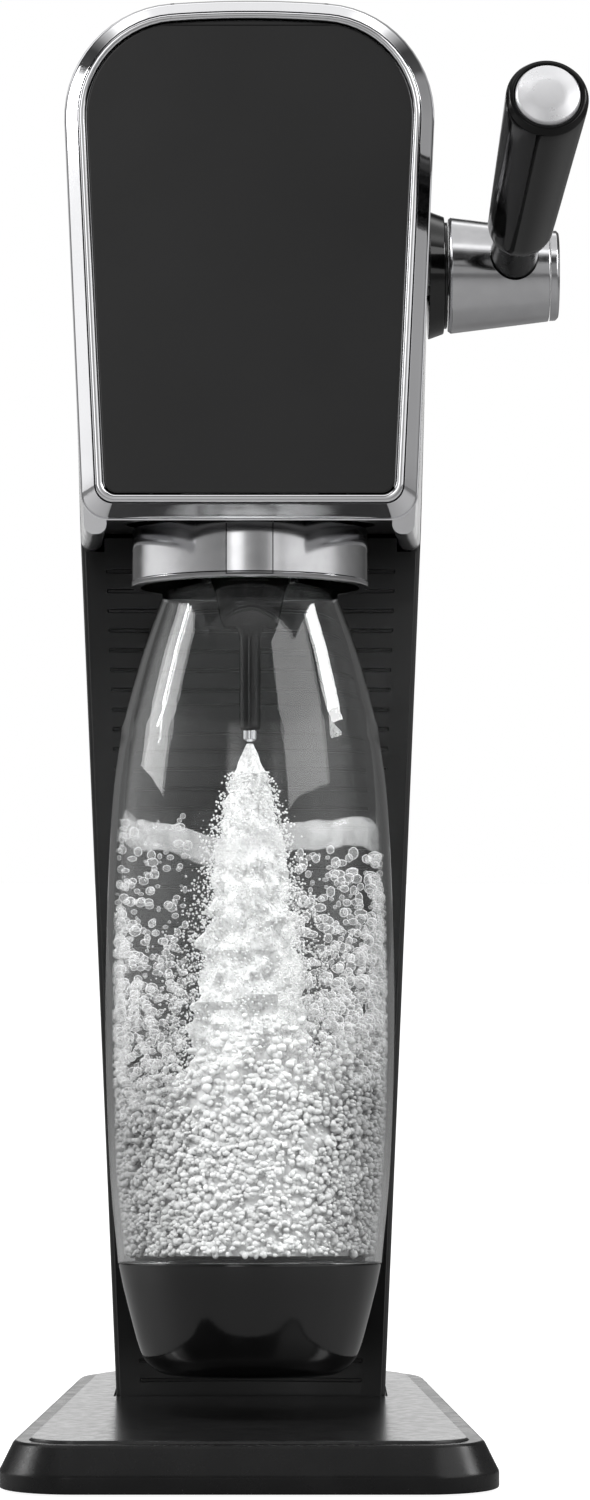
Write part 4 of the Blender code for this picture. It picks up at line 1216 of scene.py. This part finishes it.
def make_bottle():
    outer = [(radius, height) for radius, height in bottle_curve() if height > CUP_TOP]
    rim = [(CUP_TOP_RADIUS - CUP_WALL - GAP, CUP_TOP + GAP), (CUP_TOP_RADIUS, CUP_TOP + GAP + 0.1)]
    moulded = []
    for radius, height in outer:
        rise = RIDGE_RISE if abs(height - RIDGE_HEIGHT) < RIDGE_HALF else 0.0
        moulded.append((radius + rise, height))
    outside = cup_curve(CUP_WALL + GAP) + rim + moulded
    outside += [(20.5, 239.5), (NECK_RADIUS, 242.0), (NECK_RADIUS, BOTTLE_MOUTH)]
    inside = [(MOUTH_RADIUS, BOTTLE_MOUTH), (MOUTH_RADIUS, 241.0)]
    inside += [(radius - BOTTLE_WALL, height - 0.6) for radius, height in reversed(outer)]
    hidden = reversed(cup_curve(CUP_WALL + GAP + BOTTLE_WALL))
    inside += [(radius, height + 0.2) for radius, height in hidden]
    floor = inside[-1][1]
    profile = [(0.0, outside[0][1]), *outside, *inside, (0.0, floor)]
    shell = turned(
        "bottle_shell_fine",
        [(radius, height, 0) for radius, height in reversed(profile)],
        FINISH["clear_plastic"],
        128,
    )
    shell.visible_shadow = False
    place(even_normals(shell), "bottle", ["bottle_shell"], LEAN)

    outside = cup_curve()
    outside += [(CUP_TOP_RADIUS - 0.25, CUP_TOP - 0.8), (CUP_TOP_RADIUS - 0.3, CUP_TOP - 0.2)]
    inside = [(CUP_TOP_RADIUS - 0.8, CUP_TOP), (CUP_TOP_RADIUS - CUP_WALL, CUP_TOP - 0.1)]
    inside += list(reversed(cup_curve(CUP_WALL)))
    profile = [(0.0, 0.0), *outside, *inside, (0.0, inside[-1][1])]
    cup = turned(
        "bottle_cup_fine",
        [(radius, height, 0) for radius, height in reversed(profile)],
        FINISH["gloss_black"],
        128,
    )
    place(cup, "bottle", ["bottle_cup"], LEAN)


# --- water and fizz --------------------------------------------------------------------------


def outward(azimuth):
    """The way from the bottle's axis to its wall: azimuth 0 is in front, in radians."""
    return Vector((math.sin(azimuth), -math.cos(azimuth), 0.0))


def spot_at(reach, azimuth, height):
    return Vector((reach * math.sin(azimuth), -reach * math.cos(azimuth), height))


def bubbles(name, spots, material, detail):
    """Small rounds at (place, radii) spots, joined into one piece that rides on the bottle."""
    sphere = bmesh.new()
    bmesh.ops.create_icosphere(sphere, subdivisions=detail, radius=1.0)
    points = np.array([vert.co for vert in sphere.verts])
    faces = np.array([[vert.index for vert in face.verts] for face in sphere.faces])
    sphere.free()
    places = np.array([spot for spot, _ in spots])
    radii = np.array([radii for _, radii in spots])
    points = places[:, None, :] + points[None, :, :] * radii[:, None, :]
    starts = np.arange(len(spots)) * points.shape[1]
    faces = faces[None, :, :] + starts[:, None, None]
    mesh = bpy.data.meshes.new(name)
    mesh.from_pydata((points.reshape(-1, 3) * MM).tolist(), [], faces.reshape(-1, 3).tolist())
    mesh.materials.append(material)
    mesh.shade_smooth()
    obj = bpy.data.objects.new(name, mesh)
    bpy.context.scene.collection.objects.link(obj)
    place(obj, "bottle", matrix=LEAN)


def plume_radius(height):
    """How wide the cloud of fizz under the nozzle is at a height."""
    fall = max(TIP_BOTTOM - height, 0.0)
    return PLUME_START + PLUME_SPREAD * (1 - math.exp(-fall / PLUME_LENGTH)) + PLUME_FLARE * fall**2


def make_plume():
    """The body of the white cloud that the gas jet makes, with a ragged outline."""
    rings = []
    top = TIP_BOTTOM - 0.6
    count = 56
    rows = 119
    for row in range(rows + 1):
        height = top + (PLUME_BOTTOM - top) * row / rows
        ring = []
        for index in range(count):
            way = outward(math.tau * index / count)
            spot = way * 8.0 + Vector((0.0, 0.0, height * 0.5))
            ragged = noise.noise(spot * 0.35) * 0.3 + noise.noise(spot * 0.9) * 0.11
            reach = plume_radius(height) * (0.74 + ragged)
            ring.append(way * reach + Vector((0.0, 0.0, height)))
        rings.append(ring)
    place(loft("plume", rings, FINISH["mist"]), "bottle", matrix=LEAN)


def crest_height(azimuth):
    """The height of the wavy water line round the wall, lowest in front."""
    dip = CREST_DIP * math.exp(-((azimuth / CREST_DIP_WIDTH) ** 2))
    return CREST_LEVEL - dip + 2.0 * math.sin(3 * azimuth + 0.6) + math.sin(7 * azimuth)


def make_splash():
    """The rolling crest of the water against the wall."""
    count = 180
    sections = 14
    rings = []
    for index in range(count):
        azimuth = math.tau * index / count - math.pi
        way = outward(azimuth)
        middle = crest_height(azimuth)
        reach = bottle_radius(middle) - CREST_INWARD
        ring = []
        for step in range(sections):
            turn = math.tau * step / sections
            bump = 1.0 + 0.25 * noise.noise(way * 5.0 + Vector((step * 0.3, 0.0, 0.0)))
            across = math.cos(turn) * CREST_HALF_WIDTH * bump
            up = math.sin(turn) * CREST_HALF_HEIGHT * bump
            ring.append(way * (reach + across) + Vector((0.0, 0.0, middle + up)))
        rings.append(ring)
    crest = loft("splash_crest", rings, FINISH["water"], closed=True)
    place(crest, "bottle", matrix=LEAN)


def foam_top(azimuth):
    """The height of the dense foam's ragged top round the wall, lower at the left."""
    swell = FOAM_SWELL * math.exp(-(((azimuth - 0.1) / 0.5) ** 2))
    lumps = FOAM_LUMPS * noise.noise(Vector((azimuth * 2.5, 3.0, 0.0)))
    return FOAM_LEVEL + FOAM_SLOPE * math.sin(azimuth) + swell + lumps


def make_foam_body():
    """The dense foam behind the bubbles: a lumpy skin just inside them, drawn in at the top."""
    count = 160
    rows = 60
    rings = []
    for row in range(rows + 1):
        share = row / rows
        ring = []
        for index in range(count):
            azimuth = math.tau * index / count - math.pi
            way = outward(azimuth)
            height = FOAM_FLOOR + (foam_top(azimuth) - FOAM_FLOOR) * min(share / FOAM_SIDE_SHARE, 1.0)
            closing = max(share - FOAM_SIDE_SHARE, 0.0) / (1 - FOAM_SIDE_SHARE) * FOAM_CLOSING
            spot = way * 30.0 + Vector((0.0, 0.0, height))
            lump = 0.5 * noise.noise(spot * 0.9) + 0.9 * noise.noise(spot * 0.25)
            reach = bottle_radius(height) - (FOAM_INWARD + closing) + lump
            ring.append(way * reach + Vector((0.0, 0.0, height)))
        rings.append(ring)
    place(loft("foam_body", rings, FINISH["deep_foam"]), "bottle", matrix=LEAN)


def in_foam(height, azimuth):
    """The share of bubbles kept in the foam, less and less towards its top."""
    return min(max((foam_top(azimuth) + FOAM_OVERTOP - height) / FOAM_THINNING, 0.0), 1.0)


def in_column(height, _azimuth):
    """The share of clear bubbles kept up the wall, fewer higher up."""
    return 0.25 + 0.75 * max(0.0, (150.0 - height) / 70.0)


def wall_spots(rng, keep, count, heights, sizes, azimuths):
    """Spots against the inside of the wall."""
    spots = []
    while len(spots) < count:
        height = rng.uniform(*heights)
        azimuth = math.radians(rng.uniform(*azimuths))
        radius = rng.uniform(*sizes)
        if rng.random() > keep(height, azimuth):
            continue
        reach = bottle_radius(height) - radius - rng.uniform(0.1, 1.6)
        size = Vector((radius * rng.uniform(0.75, 1.3), radius, radius * rng.uniform(0.7, 1.25)))
        spots.append((spot_at(reach, azimuth, height), size))
    return spots


def plume_spots(rng, count, heights, sizes):
    """Spots over the plume's body, thrown wider the lower they are."""
    spots = []
    while len(spots) < count:
        height = rng.uniform(*heights)
        spread = 0.18 + 0.28 * (TIP_BOTTOM - height) / 80.0
        width = plume_radius(height) * (0.72 + abs(rng.gauss(0.0, spread)))
        if width > bottle_radius(height) - 1.5:
            continue
        azimuth = rng.uniform(-math.pi, math.pi)
        size = Vector((1.0, 1.0, 1.0)) * rng.uniform(*sizes)
        spots.append((spot_at(width, azimuth, height), size))
    return spots


# Bubbles on the wall: piece, finish, roundness and the share kept, then the stretches that they fill,
# each with a count, heights, radii and azimuths in degrees
FRONT_BUBBLES = (
    ("foam_left", "foam", 2, in_foam, [(2300, (36.0, 112.0), FOAM_SIZES, (-100.0, 0.0))]),
    ("foam_right", "foam", 2, in_foam, [(2400, (36.0, 114.0), FOAM_SIZES, (0.0, 100.0))]),
    ("bubbles_right", "bubble", 2, in_column, [(1100, (84.0, 154.0), (0.5, 1.7), (14.0, 95.0))]),
    ("bubbles_left", "bubble", 2, in_column, [(820, (74.0, 164.0), (0.4, 1.45), (-95.0, -28.0))]),
)
BACK_FOAM = (1850, (36.0, 114.0), FOAM_SIZES)
BACK_COLUMN = (260, (80.0, 132.0), (0.4, 1.5))
BACK_BUBBLES = (
    ("foam_back", "foam", 1, in_foam, [(*BACK_FOAM, (-180.0, -100.0)), (*BACK_FOAM, (100.0, 180.0))]),
    (
        "bubbles_back",
        "bubble",
        1,
        in_column,
        [(*BACK_COLUMN, (-180.0, -95.0)), (*BACK_COLUMN, (95.0, 180.0))],
    ),
)


def make_wall_bubbles(rng, rows):
    for name, finish, detail, keep, stretches in rows:
        spots = [spot for stretch in stretches for spot in wall_spots(rng, keep, *stretch)]
        bubbles(name, spots, FINISH[finish], detail)


def make_fizz():
    rng = random.Random(7)
    make_wall_bubbles(rng, FRONT_BUBBLES)
    spots = plume_spots(rng, 8500, (76.0, TIP_BOTTOM - 9.0), (0.16, 0.46))
    bubbles("plume_bubbles", spots, FINISH["foam"], 1)
    make_wall_bubbles(rng, BACK_BUBBLES)


# --- carried-over CAD nodes ------------------------------------------------------------------


NODE_FINISHES = {
    "black_plastic": ("bottom_cover", "cylinder_cradle", "holder_core"),
    "black_satin": ("head_underside", "cover_button"),
    "white_plastic": ("shaft_bushing",),
    "red_plastic": ("latch_yoke",),
    "rubber": (
        *(f"foot_{corner}" for corner in ("front_left", "front_right", "rear_left", "rear_right", "centre")),
        *("cylinder_hose", "outlet_hose", "mouth_seal"),
    ),
    "steel": (
        *(f"column_screw_{number}" for number in range(1, 5)),
        *("shaft_bracket", "lever_return_spring", "holder_pivot_pin"),
        *("lever_shaft", "lever_crank", "valve_pusher"),
    ),
    "brass": ("valve_block", "cylinder_adaptor", "relief_valve", "cylinder_valve"),
    "aluminium": ("gas_cylinder",),
}


def finish_cad_nodes():
    for slot, names in NODE_FINISHES.items():
        for name in names:
            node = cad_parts[name]
            node.data.materials.clear()
            node.data.materials.append(FINISH[slot])


make_camera()
make_world()
make_lights()
make_floor()
bpy.context.scene.view_settings.view_transform = "Standard"

FINISH = make_materials()
finish_cad_nodes()
make_base()
make_body()
make_back()
make_head()
make_lever()
make_holder()
make_bottle()
make_plume()
make_splash()
make_foam_body()
make_fizz()
